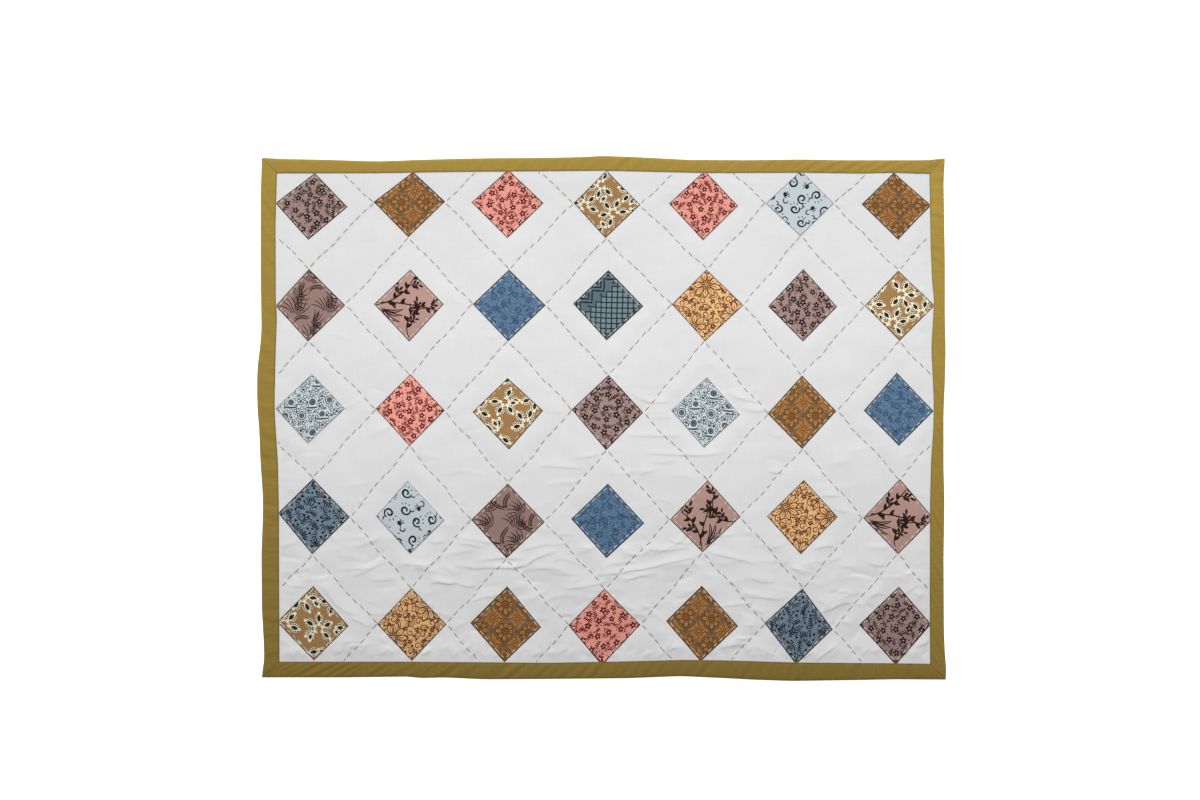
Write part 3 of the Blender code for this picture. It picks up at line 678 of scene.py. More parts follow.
def cotton(name, dye, slub, bump, ways=(1, 1), painted_shading=None):
    """Plain-weave cotton. ways is how strongly its thick threads show along X and along Y; a named
    attribute of painted light and shade scales its colour.
    """
    material, shader = new_material(name, 0.9, 0.12)
    nodes, links = material.node_tree.nodes, material.node_tree.links
    colour = attribute(material, dye, "Color") if isinstance(dye, str) else linear(dye)
    along_x = noise(material, (SLUBS / 14, SLUBS, 1), 1 - slub * ways[0], 1 + slub * ways[0])
    along_y = noise(material, (SLUBS, SLUBS / 14, 1), 1 - slub * ways[1], 1 + slub * ways[1])
    fine_x = noise(material, (THREADS / 10, THREADS, 1), 1 - slub, 1 + slub)
    fine_y = noise(material, (THREADS, THREADS / 10, 1), 1 - slub, 1 + slub)
    broad = noise(material, (7, 7, 7), 0.975, 1.025)
    factors = [along_y, join(material, "MULTIPLY", fine_x, fine_y), broad]
    # Painted light and shade from the mesh attribute
    if painted_shading:
        factors.append(attribute(material, painted_shading, "Fac"))
    value = along_x
    for factor in factors:
        value = join(material, "MULTIPLY", value, factor)
    links.new(shade(material, colour, value), shader.inputs["Base Color"])
    coarse = join(material, "ADD", along_x, along_y)
    height = join(material, "ADD", coarse, join(material, "ADD", fine_x, fine_y))
    raised = nodes.new("ShaderNodeBump")
    raised.inputs["Strength"].default_value = 1.0
    raised.inputs["Distance"].default_value = bump
    links.new(height, raised.inputs["Height"])
    links.new(raised.outputs["Normal"], shader.inputs["Normal"])
    return material


def thread(name, dye):
    """Twisted sewing thread."""
    material, shader = new_material(name, 0.75, 0.1)
    twist = noise(material, (900, 900, 900), 0.86, 1.1)
    length = noise(material, (40, 40, 40), 0.9, 1.08)
    value = join(material, "MULTIPLY", twist, length)
    dyed = shade(material, linear(dye), value)
    material.node_tree.links.new(dyed, shader.inputs["Base Color"])
    return material


# Mesh helpers


def link(name, data):
    """A new object in the scene."""
    made = bpy.data.objects.new(name, data)
    bpy.context.scene.collection.objects.link(made)
    return made


def object_of(mesh, material):
    """A smooth object of a mesh, with its name."""
    mesh.materials.append(material)
    mesh.shade_smooth()
    return link(mesh.name, mesh)


def add_object(name, points, faces, material):
    """A smooth object of points and faces."""
    mesh = bpy.data.meshes.new(name)
    mesh.from_pydata(np.asarray(points).tolist(), [], faces)
    return object_of(mesh, material)


def finished(piece, slot_name, *nodes):
    """Gives a piece its body and hides the nodes that it stands for. The slot name is not used."""
    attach(piece, "root")
    if nodes:
        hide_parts(*nodes)


def steps_between(first, last, count):
    """Evenly spaced values strictly between two."""
    return list(np.linspace(first, last, count + 2)[1:-1])


def fine_steps():
    """Mesh lines in one unit of a diagonal, close together beside the sewn lines."""
    furthest = NEAR_SEWN[0]
    lines = []
    for sewn in (HALF_PATCH, 1 - HALF_PATCH):
        lines += [sewn, *[sewn + side * aside for side in (-1, 1) for aside in NEAR_SEWN]]
    lines += steps_between(HALF_PATCH + furthest, 1 - HALF_PATCH - furthest, NARROW_LINES)
    lines += steps_between(1 - HALF_PATCH + furthest, 1 + HALF_PATCH - furthest, WIDE_LINES)
    return sorted(step % 1 for step in lines)


def cut_sides(shape):
    """Cuts off what lies outside the grid's four sides."""
    cuts = (
        ((LOW_U, 0, 0), (-1, 0, 0)),
        ((HIGH_U, 0, 0), (1, 0, 0)),
        ((0, LOW_V, 0), (0, -1, 0)),
        ((0, HIGH_V, 0), (0, 1, 0)),
    )
    for point, outwards in cuts:
        everything = [*shape.verts, *shape.edges, *shape.faces]
        bmesh.ops.bisect_plane(
            shape, geom=everything, dist=SAME_PLACE, plane_co=point, plane_no=outwards,
            clear_outer=True,
        )


def in_reach(u, v, margin):
    """Whether a grid point lies within the sides or a margin outside them."""
    return LOW_U - margin < u < HIGH_U + margin and LOW_V - margin < v < HIGH_V + margin


def diagonal_grid(steps):
    """A bmesh of the grid's rectangle, flat, with lines along both diagonals."""
    a_lines = [whole + step for whole in A_UNITS for step in steps]
    b_lines = [whole + step for whole in B_UNITS for step in steps]
    shape, corners = bmesh.new(), {}

    def vertex(i, j):
        if (i, j) not in corners:
            a, b = a_lines[i], b_lines[j]
            corners[i, j] = shape.verts.new(((a + b) / 2, (a - b) / 2, 0))
        return corners[i, j]

    for i in range(len(a_lines) - 1):
        for j in range(len(b_lines) - 1):
            u, v = (a_lines[i] + b_lines[j]) / 2, (a_lines[i] - b_lines[j]) / 2
            if in_reach(u, v, GRID_MARGIN):
                ring = (vertex(i, j), vertex(i, j + 1), vertex(i + 1, j + 1), vertex(i + 1, j))
                shape.faces.new(ring)
    cut_sides(shape)
    return shape


def rim_loop(shape):
    """The grid's border vertices in order."""
    first = next(edge for edge in shape.edges if edge.is_boundary).link_loops[0]
    loop, step = [], first
    while True:
        loop.append(step.vert)
        step = step.link_loop_next
        while not step.edge.is_boundary:
            step = step.link_loop_radial_next.link_loop_next
        if step is first:
            return loop


def bridge(shape, upper, lower):
    """Quads from one ring of vertices to the next."""
    for i, (top, bottom) in enumerate(zip(upper, lower)):
        following = (i + 1) % len(upper)
        shape.faces.new((top, bottom, lower[following], upper[following]))


def add_shape(shape, name, material):
    """A smooth object of a bmesh, its faces turned outwards."""
    mesh = bpy.data.meshes.new(name)
    turn_outwards(shape, mesh)
    return object_of(mesh, material)


def turn_outwards(shape, mesh):
    """Turns a bmesh's faces outwards and writes it to a mesh."""
    bmesh.ops.recalc_face_normals(shape, faces=shape.faces)
    shape.to_mesh(mesh)
    shape.free()


def place_grid(shape, height_of):
    """Moves a flat grid's vertices to their places on the quilt."""
    flat = np.array([vertex.co[:2] for vertex in shape.verts])
    u, v = flat.T
    spots = np.column_stack([*place(u, v), height_of(u, v)])
    for vertex, spot in zip(shape.verts, spots.tolist()):
        vertex.co = spot


def rows_along(route, offsets):
    """Points in rows beside a line."""
    route = MM * np.array(route)
    lengths = np.hypot(*np.diff(route, axis=0).T)
    places = np.concatenate([[0], np.cumsum(lengths)])
    along = np.linspace(0, places[-1], int(places[-1] / CREASE_STEP) + 2)
    line = np.column_stack([np.interp(along, places, route[:, axis]) for axis in (0, 1)])
    run = np.gradient(line, axis=0)
    left = np.column_stack([-run[:, 1], run[:, 0]]) / np.hypot(*run.T)[:, None]
    return np.vstack([line + offset * left for offset in offsets])


def on_grid(x, y):
    """The grid points that lie at places on the quilt."""
    aim_x, aim_y = x, y
    for _ in range(5):
        u = np.interp(aim_x, X_STOPS, U_STOPS)
        v = np.interp(-aim_y, [-stop for stop in Y_STOPS], V_STOPS)
        now_x, now_y = place(u, v)
        aim_x, aim_y = aim_x + x - now_x, aim_y + y - now_y
    return u, v


def crease_points():
    """Grid points in rows along every crease and wrinkle, clear of the sides."""
    rows = []
    for creases, places in ((CREASES, CREASE_ROWS), (WRINKLES, WRINKLE_ROWS)):
        rows += [rows_along(route, MM * wide * np.array(places)) for _, wide, *route in creases]
    spots = np.column_stack(on_grid(*np.vstack(rows).T))
    clear = (spots > GRID_LOW + CREASE_MARGIN) & (spots < GRID_HIGH - CREASE_MARGIN)
    return spots[clear.all(axis=1)]


def with_creases(shape):
    """The flat grid, meshed anew with rows of points along the creases."""
    creased = crease_points()
    even = np.array([vertex.co[:2] for vertex in shape.verts])
    for side in (GRID_LOW, GRID_HIGH):
        even = np.where(np.abs(even - side) < SAME_PLACE, side, even)
    tree = kdtree.KDTree(len(creased))
    for number, spot in enumerate(creased.tolist()):
        tree.insert((*spot, 0), number)
    tree.balance()
    on_rim = ((even == GRID_LOW) | (even == GRID_HIGH)).any(axis=1)
    apart = np.array([tree.find((*spot, 0))[2] > CREASE_CLEAR for spot in even.tolist()])
    points = [Vector(spot) for spot in np.vstack([even[on_rim | apart], creased]).tolist()]
    spots, _, faces, *_ = geometry.delaunay_2d_cdt(points, [], [], 0, SAME_PLACE, False)
    shape.free()
    meshed = bmesh.new()
    corners = [meshed.verts.new((*spot, 0)) for spot in spots]
    for face in faces:
        meshed.faces.new([corners[number] for number in face])
    return meshed


# The quilt's pieces


def add_top(material):
    """Top cloth over the filling, thinned where the binding holds it."""
    shape = with_creases(diagonal_grid(fine_steps()))
    seam = rim_loop(shape)
    u, v = np.array([vertex.co[:2] for vertex in seam]).T
    place_grid(shape, top_height)
    outer, above = outline_point(u, v), seam
    rings = ((BODY_RIM, SEWN_TOP), (BODY_RIM, RIM_BOTTOM), (1, RIM_BOTTOM), (FOOT, FILLING_BOTTOM))
    for share, height in rings:
        x, y = across(outer, u, v, share)
        ring = [shape.verts.new((*spot, height)) for spot in zip(x, y)]
        bridge(shape, above, ring)
        above = ring
    shape.faces.new(above)
    quilt = add_shape(shape, "quilt", material)
    finished(quilt, "ground_cotton", "quilt_body")


def backing_height(u, v):
    """The underside, flat between the sewn lines and drawn up along them."""
    _, reach = sewn_reach(u, v)
    return BACKING_LOW + BACKING_DRAWN_UP * np.exp(-((reach * UNIT / BACKING_REACH) ** 2))


def add_backing(material):
    """The plain backing cloth under the filling."""
    shape = diagonal_grid(BACKING_STEPS)
    place_grid(shape, backing_height)
    backing = add_shape(shape, "backing", material)
    if backing.data.polygons[0].normal.z > 0:
        backing.data.flip_normals()
    finished(backing, "ground_cotton")


def side_points(side):
    """Grid points along one side, clockwise round the quilt, close together at the ends."""
    level = side in LEVEL_SIDES
    low, high, length = (LOW_U, HIGH_U, WIDTH) if level else (LOW_V, HIGH_V, DEPTH)
    even = np.linspace(STEPS_FROM, 1 - STEPS_FROM, int(length / BINDING_STEP))
    ends = np.array(MITRE_STEPS)
    shares = np.concatenate([ends, even, 1 - ends[::-1]])
    along = low + (high - low) * (shares if side in ("top", "right") else 1 - shares)
    at = {"top": LOW_V, "bottom": HIGH_V, "left": LOW_U, "right": HIGH_U}[side]
    fixed = np.full_like(along, at)
    return (along, fixed, shares) if level else (fixed, along, shares)


def strip_ripples(side, along, share):
    """Slanting ripples of about plus or minus 1 at one share of a strip's width."""
    slant = along + share * BINDING_SLANT
    beside = np.full_like(slant, share * RIPPLE_WIDTH)
    total = np.zeros_like(slant)
    for seed, (length, spread, strength) in enumerate(RIPPLES, 30 + len(side)):
        total += strength * ripple(slant, beside, length, 0, spread, seed)
    return total


def strip_points(side):
    """Rings of points round a folded strip, from end to end, and the painted light and shade of
    each point.
    """
    u, v, shares = side_points(side)
    length = WIDTH if side in LEVEL_SIDES else DEPTH
    outer = outline_on(side, u, v)
    onwards = MITRE_GAP if side in ("top", "left") else -MITRE_GAP
    pull = np.zeros_like(u)
    pull[0], pull[-1] = onwards, -onwards
    dip = MITRE_DIP * np.exp(-np.minimum(shares, 1 - shares) * length / MITRE_REACH)
    lines, bright = [], []
    for share, height, play in BINDING_SECTION:
        x, y = across(outer, u, v, share)
        lift = play * (BINDING_RIPPLE * strip_ripples(side, shares * length, share) - dip)
        x, y = (x + pull, y) if side in LEVEL_SIDES else (x, y + pull)
        lines.append(np.column_stack([x, y, height * MM + lift]))
        # Painted light and shade: darker towards the bottom edge, lighter or darker by strip, and
        # darker beside the seam
        painted_strip_light = STRIP_PAINTED_LIGHT[side] * np.interp(y, (-DEPTH / 2, DEPTH / 2), BINDING_PAINTED_SHADE)
        bright.append(painted_strip_light * (SEAM_PAINTED_SHADE if share > SEAM_FROM else 1.0))
    return np.stack(lines, axis=1), np.stack(bright, axis=1)


def strip_faces(count, size):
    """Quads between rings of points that follow one another, and a face at each end."""
    faces = []
    for first in range(0, (count - 1) * size, size):
        for k in range(size):
            low, high = first + k, first + (k + 1) % size
            faces.append((low, low + size, high + size, high))
    return [*faces, list(range(size))[::-1], [(count - 1) * size + k for k in range(size)]]


def add_binding(side, material):
    """One folded strip of binding, open towards the quilt and mitred at its ends."""
    points, bright = strip_points(side)
    faces = strip_faces(*points.shape[:2])
    piece = add_object(f"binding_{side}_cloth", points.reshape(-1, 3), faces, material)
    # The seam attribute holds the strip's painted light and shade, which scales its colour
    seam = piece.data.attributes.new("seam", "FLOAT", "POINT")
    seam.data.foreach_set("value", bright.ravel().astype(np.float32))
    shape = bmesh.new()
    shape.from_mesh(piece.data)
    turn_outwards(shape, piece.data)
    finished(piece, "binding_cotton", f"binding_{side}")


# Marks that the prints are made of


def scroll(x, y, turn, outer, inner, degrees, count):
    """Points along a spiral from its outer end."""
    angles = np.radians(turn + np.linspace(0, degrees, count))
    radii = np.linspace(outer, inner, count)
    return np.column_stack([x + radii * np.cos(angles), y + radii * np.sin(angles)])


def stroke(points, width, taper=0.45):
    """The outline of a brush stroke that thins towards its ends."""
    run = np.gradient(points, axis=0)
    normal = np.column_stack([-run[:, 1], run[:, 0]]) / np.hypot(*run.T)[:, None]
    swell = taper + (1 - taper) * np.sin(np.pi * np.linspace(0, 1, len(points)))
    half = width / 2 * swell[:, None]
    return np.vstack([points - half * normal, (points + half * normal)[::-1]])


def dark(*outlines):
    """Outlines as marks in the dark ink."""
    return [("dark", outline) for outline in outlines]


def light(*outlines):
    """Outlines as marks in the light ink."""
    return [("light", outline) for outline in outlines]


def brush(points, width, taper=0.45):
    """A long or coiled dark stroke, in short lengths so that none of them crosses itself."""
    outline = stroke(points, width, taper)
    right, left = outline[:len(points)], outline[len(points):][::-1]
    marks = []
    for first in range(0, len(points) - 1, 3):
        last = min(first + 4, len(points))
        marks += dark(np.vstack([right[first:last], left[first:last][::-1]]))
    return marks


def dash(x, y, heading, length, width):
    """A short straight mark with its middle at x and y."""
    way = np.radians(heading)
    start = (x - length / 2 * np.cos(way), y - length / 2 * np.sin(way))
    return stroke(sweep(*start, heading, length, 0, 3), width, 0.6)


def laid(x, y, heading, along, beside):
    """Points that lie along and beside a heading, counted from x and y."""
    way = np.radians(heading)
    spots = (along * np.cos(way) - beside * np.sin(way), along * np.sin(way) + beside * np.cos(way))
    return np.column_stack(spots) + (x, y)


def blob(x, y, radius, aspect=1.0, heading=0.0, sides=9):
    """A round or oval spot."""
    turn = np.linspace(0, 2 * np.pi, sides, endpoint=False)
    return laid(x, y, heading, radius * np.cos(turn), radius * aspect * np.sin(turn))


def leaf(x, y, heading, length, width, lean=1.0, count=6):
    """A pointed leaf from its stalk end. A lean over 1 makes its far end the wider one."""
    share = np.linspace(0, 1, count)
    half = width / 2 * np.sin(np.pi * share**lean) ** 0.8
    along = np.concatenate([share, share[-2:0:-1]]) * length
    return laid(x, y, heading, along, np.concatenate([-half, half[-2:0:-1]]))


def off(x, y, heading, distance):
    """The point at a distance from another."""
    way = np.radians(heading)
    return x + distance * np.cos(way), y + distance * np.sin(way)


def line_leaf(x, y, heading, length, width, line, lean=1.2, inside="ground", vein=0.5):
    """A leaf drawn as a line, with a vein."""
    inner = off(x, y, heading, line * length / width)
    inner_length = length - 2 * line * length / width
    return [
        *dark(leaf(x, y, heading, length, width, lean, 9)),
        (inside, leaf(*inner, heading, inner_length, width - 2 * line, lean, 9)),
        *dark(dash(*off(x, y, heading, length * 0.4), heading, length * vein, line)),
    ]


def hoop(x, y, radius, width, ink, inner="ground"):
    """A ring: a spot with a smaller one on it."""
    return [(ink, blob(x, y, radius, sides=14)), (inner, blob(x, y, radius - width, sides=12))]


def fan(x, y, heading, count, length, width, spread, start=0.0, turn=0.0):
    """Dark strokes that spread out from a point."""
    marks = []
    for angle in np.linspace(-spread / 2, spread / 2, count):
        line = sweep(*off(x, y, heading + angle, start), heading + angle, length, turn, 5)
        marks += dark(stroke(line, width))
    return marks


def scattered(rng, pitch, jitter=0.2):
    """Places on a turned, shifted and shaken lattice over the square, of kinds 0, 1 and 2."""
    turn = rng.uniform(0, np.pi / 3)
    shift = rng.uniform(-0.5, 0.5, 2) * pitch
    count = int(SQUARE / pitch) + 3
    spots = []
    for i in range(-count, count + 1):
        for j in range(-count, count + 1):
            along, beside = (i + j / 2) * pitch, j * pitch * 0.866
            x = along * np.cos(turn) - beside * np.sin(turn) + shift[0]
            y = along * np.sin(turn) + beside * np.cos(turn) + shift[1]
            x, y = np.array((x, y)) + rng.uniform(-jitter, jitter, 2) * pitch
            if abs(x) + abs(y) < SQUARE + max(pitch / 2, 12):
                spots.append((x, y, (i - j) % 3))
    return spots


def specks(rng, pitch, radius, ink="dark"):
    """Small dots all over."""
    spots = scattered(rng, pitch, 0.4)
    sizes = radius * rng.uniform(0.6, 1.2, len(spots))
    return [(ink, blob(x, y, size, sides=6)) for (x, y, _), size in zip(spots, sizes)]


def floret(x, y, turn, centre="light", size=1.0):
    """A dark five-petal flower."""
    marks = []
    for angle in turn + 72 * np.arange(5):
        marks += dark(blob(*off(x, y, angle, 3.9 * size), 2.7 * size, 0.82, angle, 8))
    marks += dark(blob(x, y, 2.9 * size, sides=8))
    return [*marks, (centre, blob(x, y, 1.35 * size, sides=6))]


def sprig(x, y, heading, length, pairs, leaf_length, width, turn):
    """A dark bent stem with pairs of small leaves."""
    stem = sweep(x, y, heading, length, turn, 9)
    marks = dark(stroke(stem, width * 0.62, 0.7))
    for pair in range(1, pairs + 1):
        at = stem[min(len(stem) - 1, round(pair * (len(stem) - 1) / pairs))]
        way = heading + turn * pair / pairs
        for side in (-52, 52):
            marks += dark(leaf(*at, way + side, leaf_length, width))
    return marks


def turned(marks, angle, shift):
    """Marks turned round the square's middle and then shifted."""
    way = np.radians(angle)
    turn = np.array([[np.cos(way), np.sin(way)], [-np.sin(way), np.cos(way)]])
    return [(ink, outline @ turn + shift) for ink, outline in marks]


# Prints: each returns its inks and outlines, the lowest first


def ditsy(rng):
    """Small dark flowers among close-set leafy sprigs."""
    marks = []
    for x, y, kind in scattered(rng, 12.1, 0.1):
        turn = rng.uniform(0, 360)
        if kind == 0:
            marks += dark(blob(*off(x, y, turn, 4), 1.3, sides=6))
            continue
        marks += sprig(*off(x, y, turn, -7), turn, 13.5, 4, 4.8, 2.0, turn=rng.choice((-60, 60)))
    for x, y, _ in scattered(rng, 23, 0.12):
        marks.append(("ground", blob(x, y, 7.4, sides=12)))
        marks += floret(x, y, rng.uniform(0, 360), size=rng.uniform(0.9, 1.08))
    return marks


def medallion(rng):
    """Tone-on-tone rosettes with grey blots between them."""
    marks, pitch = [], 47
    shift = rng.uniform(-pitch / 2, pitch / 2, 2)
    for i in range(-2, 3):
        for j in range(-2, 3):
            x, y = pitch * i + shift[0], pitch * j + shift[1]
            marks += hoop(x, y, 20, 1.7, "dark", "light")
            marks += hoop(x, y, 17.6, 1.6, "dark")
            for angle in range(0, 360, 45):
                marks += line_leaf(*off(x, y, angle, 2), angle, 19, 9, 1.7, 1.1, "light", 0.55)
            for angle in np.arange(22.5, 360, 45):
                marks += dark(leaf(*off(x, y, angle, 8), angle, 12, 3.8))
                marks += light(dash(*off(x, y, angle, 23), angle + 90, 8, 1.6))
                marks += dark(dash(*off(x, y, angle, 26), angle + 90, 9, 1.6))
            marks += dark(blob(x, y, 2.4, sides=8))
            far_x, far_y = x + pitch / 2, y + pitch / 2
            marks += fan(far_x, far_y, 0, 10, 8, 1.9, 324, 3, 30)
            marks += hoop(far_x, far_y, 3.4, 1.6, "dark", "light")
            for spot in ((far_x, y), (x, far_y)):
                marks += hoop(*spot, 10.8, 1.6, "dark", "light")
                marks += hoop(*spot, 8.4, 1.5, "dark")
                marks.append(("blot", blob(*spot, 6.3, 0.94, 20, 9)))
            for angle in (45, 135, 225, 315):
                marks.append(("blot", blob(*off(x, y, angle, 16.2), 3.8, 1, angle, 4)))
    return marks


def petal(rng):
    """Sprays of cream petals, each with a dark middle inside a ring of dark dashes."""
    marks = []
    for x, y, _ in scattered(rng, 59, 0.06):
        turn = rng.uniform(0, 360)
        for angle in turn + 62 * np.arange(5):
            at = off(x, y, angle, 4)
            marks += light(leaf(*at, angle, 27.5, 16.8, 1.25, 9))
            for share in (0.26, 0.41, 0.56, 0.7, 0.84):
                reach = 6.2 * np.sin(np.pi * share**1.25) ** 0.8
                for side in (-1, 1):
                    spot = off(*off(*at, angle, 27 * share), angle + 90, side * reach)
                    marks += dark(dash(*spot, angle + side * 40 * (0.5 - share), 3.4, 2.3))
            marks += dark(leaf(*off(*at, angle, 8), angle, 14, 7.4, 1.1, 7))
        for angle in turn + 31 + 62 * np.arange(5):
            marks += light(dash(*off(x, y, angle, 6), angle, 8, 2.2))
            marks += dark(dash(*off(x, y, angle, 4), angle, 4, 1.6))
    for x, y, kind in scattered(rng, 36, 0.14):
        if kind == 1:
            turn = rng.uniform(0, 360)
            marks += light(leaf(x, y, turn, 20.5, 12.8, 1.2, 9))
            marks += dark(leaf(*off(x, y, turn, 5.5), turn, 11, 5.6, 1.1, 7))
            for side in (-1, 1):
                for share in (0.3, 0.5, 0.72):
                    spot = off(*off(x, y, turn, 20 * share), turn + 90, side * 4.4)
                    marks += dark(dash(*spot, turn, 2.8, 1.6))
    return marks


def swirl(rng):
    """A few dark scrolls with ticks on a plain ground."""
    marks = []
    for x, y, kind in scattered(rng, 31, 0.1):
        turn = rng.uniform(0, 360)
        if kind == 2:
            marks += dark(leaf(x, y, turn, 12, 7.5, 1.2, 8))
            marks += brush(scroll(*off(x, y, turn + 180, 6), turn, 6.5, 3, 270, 12), 2.6)
            marks += fan(*off(x, y, turn, 5), turn - 80, 3, 6.5, 2, 70, start=3)
            continue
        line = scroll(x, y, turn, 9.8, 2.2, -430, 22)
        marks += brush(line, 3.9, 0.62)
        tail = sweep(*line[1], turn - 20, 10, 60, 5)
        marks += dark(stroke(tail, 2.6))
        for angle in (40, 70, 100):
            marks += dark(dash(*off(x, y, turn + angle, 12.8), turn + angle, 4.2, 2))
    for x, y, kind in scattered(rng, 23, 0.35):
        if kind == 0:
            marks += dark(blob(x, y, rng.uniform(1.2, 1.9), sides=7))
    return marks


def foliage(rng):
    """Sketched tufts of long bent strokes, with plain ground beside them."""
    marks = []
    lean = rng.uniform(0, 360)
    for x, y, kind in scattered(rng, 35, 0.12):
        if kind == 0:
            continue
        way = lean + (0 if kind == 1 else 75)
        marks += fan(x, y, way, 8, rng.uniform(27, 34), 1.9, 118, turn=44, start=5)
        marks += fan(*off(x, y, way, 9), way - 20, 5, 15, 1.8, 80, turn=-35, start=3)
        stem = sweep(*off(x, y, way + 90, 12), way + 150, 34, 70, 10)
        marks += dark(stroke(stem, 2.1))
        for number, at in enumerate(stem[1:-1]):
            ahead = way + 150 + 7 * number
            marks += dark(dash(*off(*at, ahead + 80, 4.4), ahead + 50, 8, 1.7))
    return marks


def branchlet(x, y, heading, turn, size):
    """A small bent twig with leaves that point along it."""
    twig = sweep(x, y, heading, 13 * size, turn, 7)
    marks = dark(stroke(twig, 1.8))
    for step, length in ((2, 7.5), (4, 8.5)):
        way = heading + turn * step / 6
        for side in (-1, 1):
            spot = off(*twig[step], way, 1.2 * side)
            marks += dark(leaf(*spot, way + 48 * side, length * size, 3.5 * size, 1.1, 7))
    marks += dark(leaf(*twig[-1], heading + turn, 9 * size, 3.6 * size, 1, 7))
    return marks


def vine(rng):
    """Long dark stems with twigs of pointed leaves, and one bunch of long ones."""
    stems = (
        # x, y, heading, length, turn, twigs as (step out of 21, side, size)
        (-66, -4, 12, 92, 52, ((10, 1, 1.4), (17, -1, 1.4))),
        (-66, 0, 6, 118, -24, ((11, -1, 1.4), (18, 1, 1.3))),
        (-2, -62, 118, 80, -120, ((8, -1, 1.1), (15, 1, 1.3))),
    )
    marks = []
    for x, y, heading, length, turn, twigs in stems:
        stem = sweep(x, y, heading, length, turn, 22)
        marks += brush(stem, 2.4, 0.7)
        for number, step in enumerate((5, 8, 13, 15, 20)):
            way = heading + turn * step / 21
            lean = 48 if number % 2 else -48
            marks += dark(leaf(*stem[step], way + lean, 14, 5.4, 1.2, 7))
            marks += dark(leaf(*stem[step], way + 0.4 * lean, 11, 3.6, 1.2, 7))
        for step, side, size in twigs:
            way = heading + turn * step / 21
            marks += branchlet(*stem[step], way + 38 * side, 30 * side, size)
    for number, heading in enumerate((-78, -56, -38, -20)):
        line = sweep(-60 + 3 * number, -8 - number, heading, 50 - 4 * number, 46, 9)
        marks += dark(stroke(line, 6.4, 0.12))
        marks.append(("ground", stroke(line[2:-1], 1.6, 0.2)))
    angle = rng.choice((0, 90, 180, 270)) + rng.uniform(-12, 12)
    return turned(marks, angle, rng.uniform(-5, 5, 2))


def denim(rng):
    """Tone-on-tone rings, dots and dashes."""
    marks = specks(rng, 4.8, 1.15) + specks(rng, 7, 1.1, "light")
    for x, y, kind in scattered(rng, 15, 0.2):
        turn = rng.uniform(0, 360)
        if kind == 0:
            marks += hoop(x, y, rng.uniform(4.6, 6.2), 2.1, "dark")
            marks += dark(blob(x, y, 1.8, sides=7))
        elif kind == 1:
            marks += fan(x, y, turn, 5, 6, 1.8, 140, 2)
        else:
            marks += brush(sweep(x, y, turn, 18, 150, 9), 2.2)
            marks += light(dash(*off(x, y, turn + 90, 4), turn, 7, 1.9))
    return marks


def grid_print(rng):
    """A woven-looking net with a stepped double line along one side."""
    pitch, line, stairs, marks = 10.1, 2.2, 23.0, []
    for i in range(-7, 8):
        for j in range(-7, 8):
            x, y = (i + 0.3) * pitch, (j + 0.1) * pitch
            if y - x < 26 and x - y < 62:
                marks += dark(blob(x, y, (pitch + line) * 0.707, 1, 45, 4))
                marks += light(blob(x, y, (pitch - line) * 0.707, 1, 45, 4))
    for offset in (46, 59, 72, -72, -85):
        for step in range(-4, 5):
            x, y = step * stairs - offset / 2 + 4, step * stairs + offset / 2 + 4
            marks += dark(dash(x, y, 0, stairs + 3, 3.2))
            marks += dark(dash(x + stairs / 2, y + stairs / 2, 90, stairs + 3, 3.2))
    for step in range(-4, 5):
        x, y = step * stairs - 13, step * stairs + 20
        marks += dark(blob(x, y, 3.4, 1, rng.uniform(70, 110), 3))
    return marks


def daisy(rng):
    """Line-drawn flowers with long petals, close among scrolls, leaves and florets."""
    marks = []
    for x, y, _ in scattered(rng, 6.4, 0.35):
        marks += dark(dash(x, y, rng.uniform(0, 180), 3.8, 1.3))
    for x, y, kind in scattered(rng, 14.6, 0.16):
        turn = rng.uniform(0, 360)
        if kind == 0:
            marks += line_leaf(*off(x, y, turn, -9), turn, 20, 9.6, 1.6)
            marks += fan(*off(x, y, turn + 120, 7), turn, 4, 6, 1.4, 80, start=1)
        elif kind == 1:
            marks.append(("ground", blob(x, y, 8, sides=12)))
            marks += brush(scroll(x, y, turn, 7, 1.6, 420, 16), 1.9, 0.75)
        else:
            marks += floret(x, y, turn, "ground", rng.uniform(0.75, 0.9))
            marks += floret(*off(x, y, turn, 9), turn, "ground", 0.6)
    for x, y, _ in scattered(rng, 84, 0.1):
        turn = rng.uniform(0, 360)
        marks.append(("ground", blob(x, y, 20, sides=16)))
        for angle in turn + 40 * np.arange(9):
            length = 27 if angle % 80 < 40 else 23
            marks += line_leaf(*off(x, y, angle, 3.5), angle, length, 11, 1.5, 1.15, "ground", 0.5)
        marks += hoop(x, y, 4.4, 1.6, "dark") + dark(blob(x, y, 1.5, sides=7))
    return marks


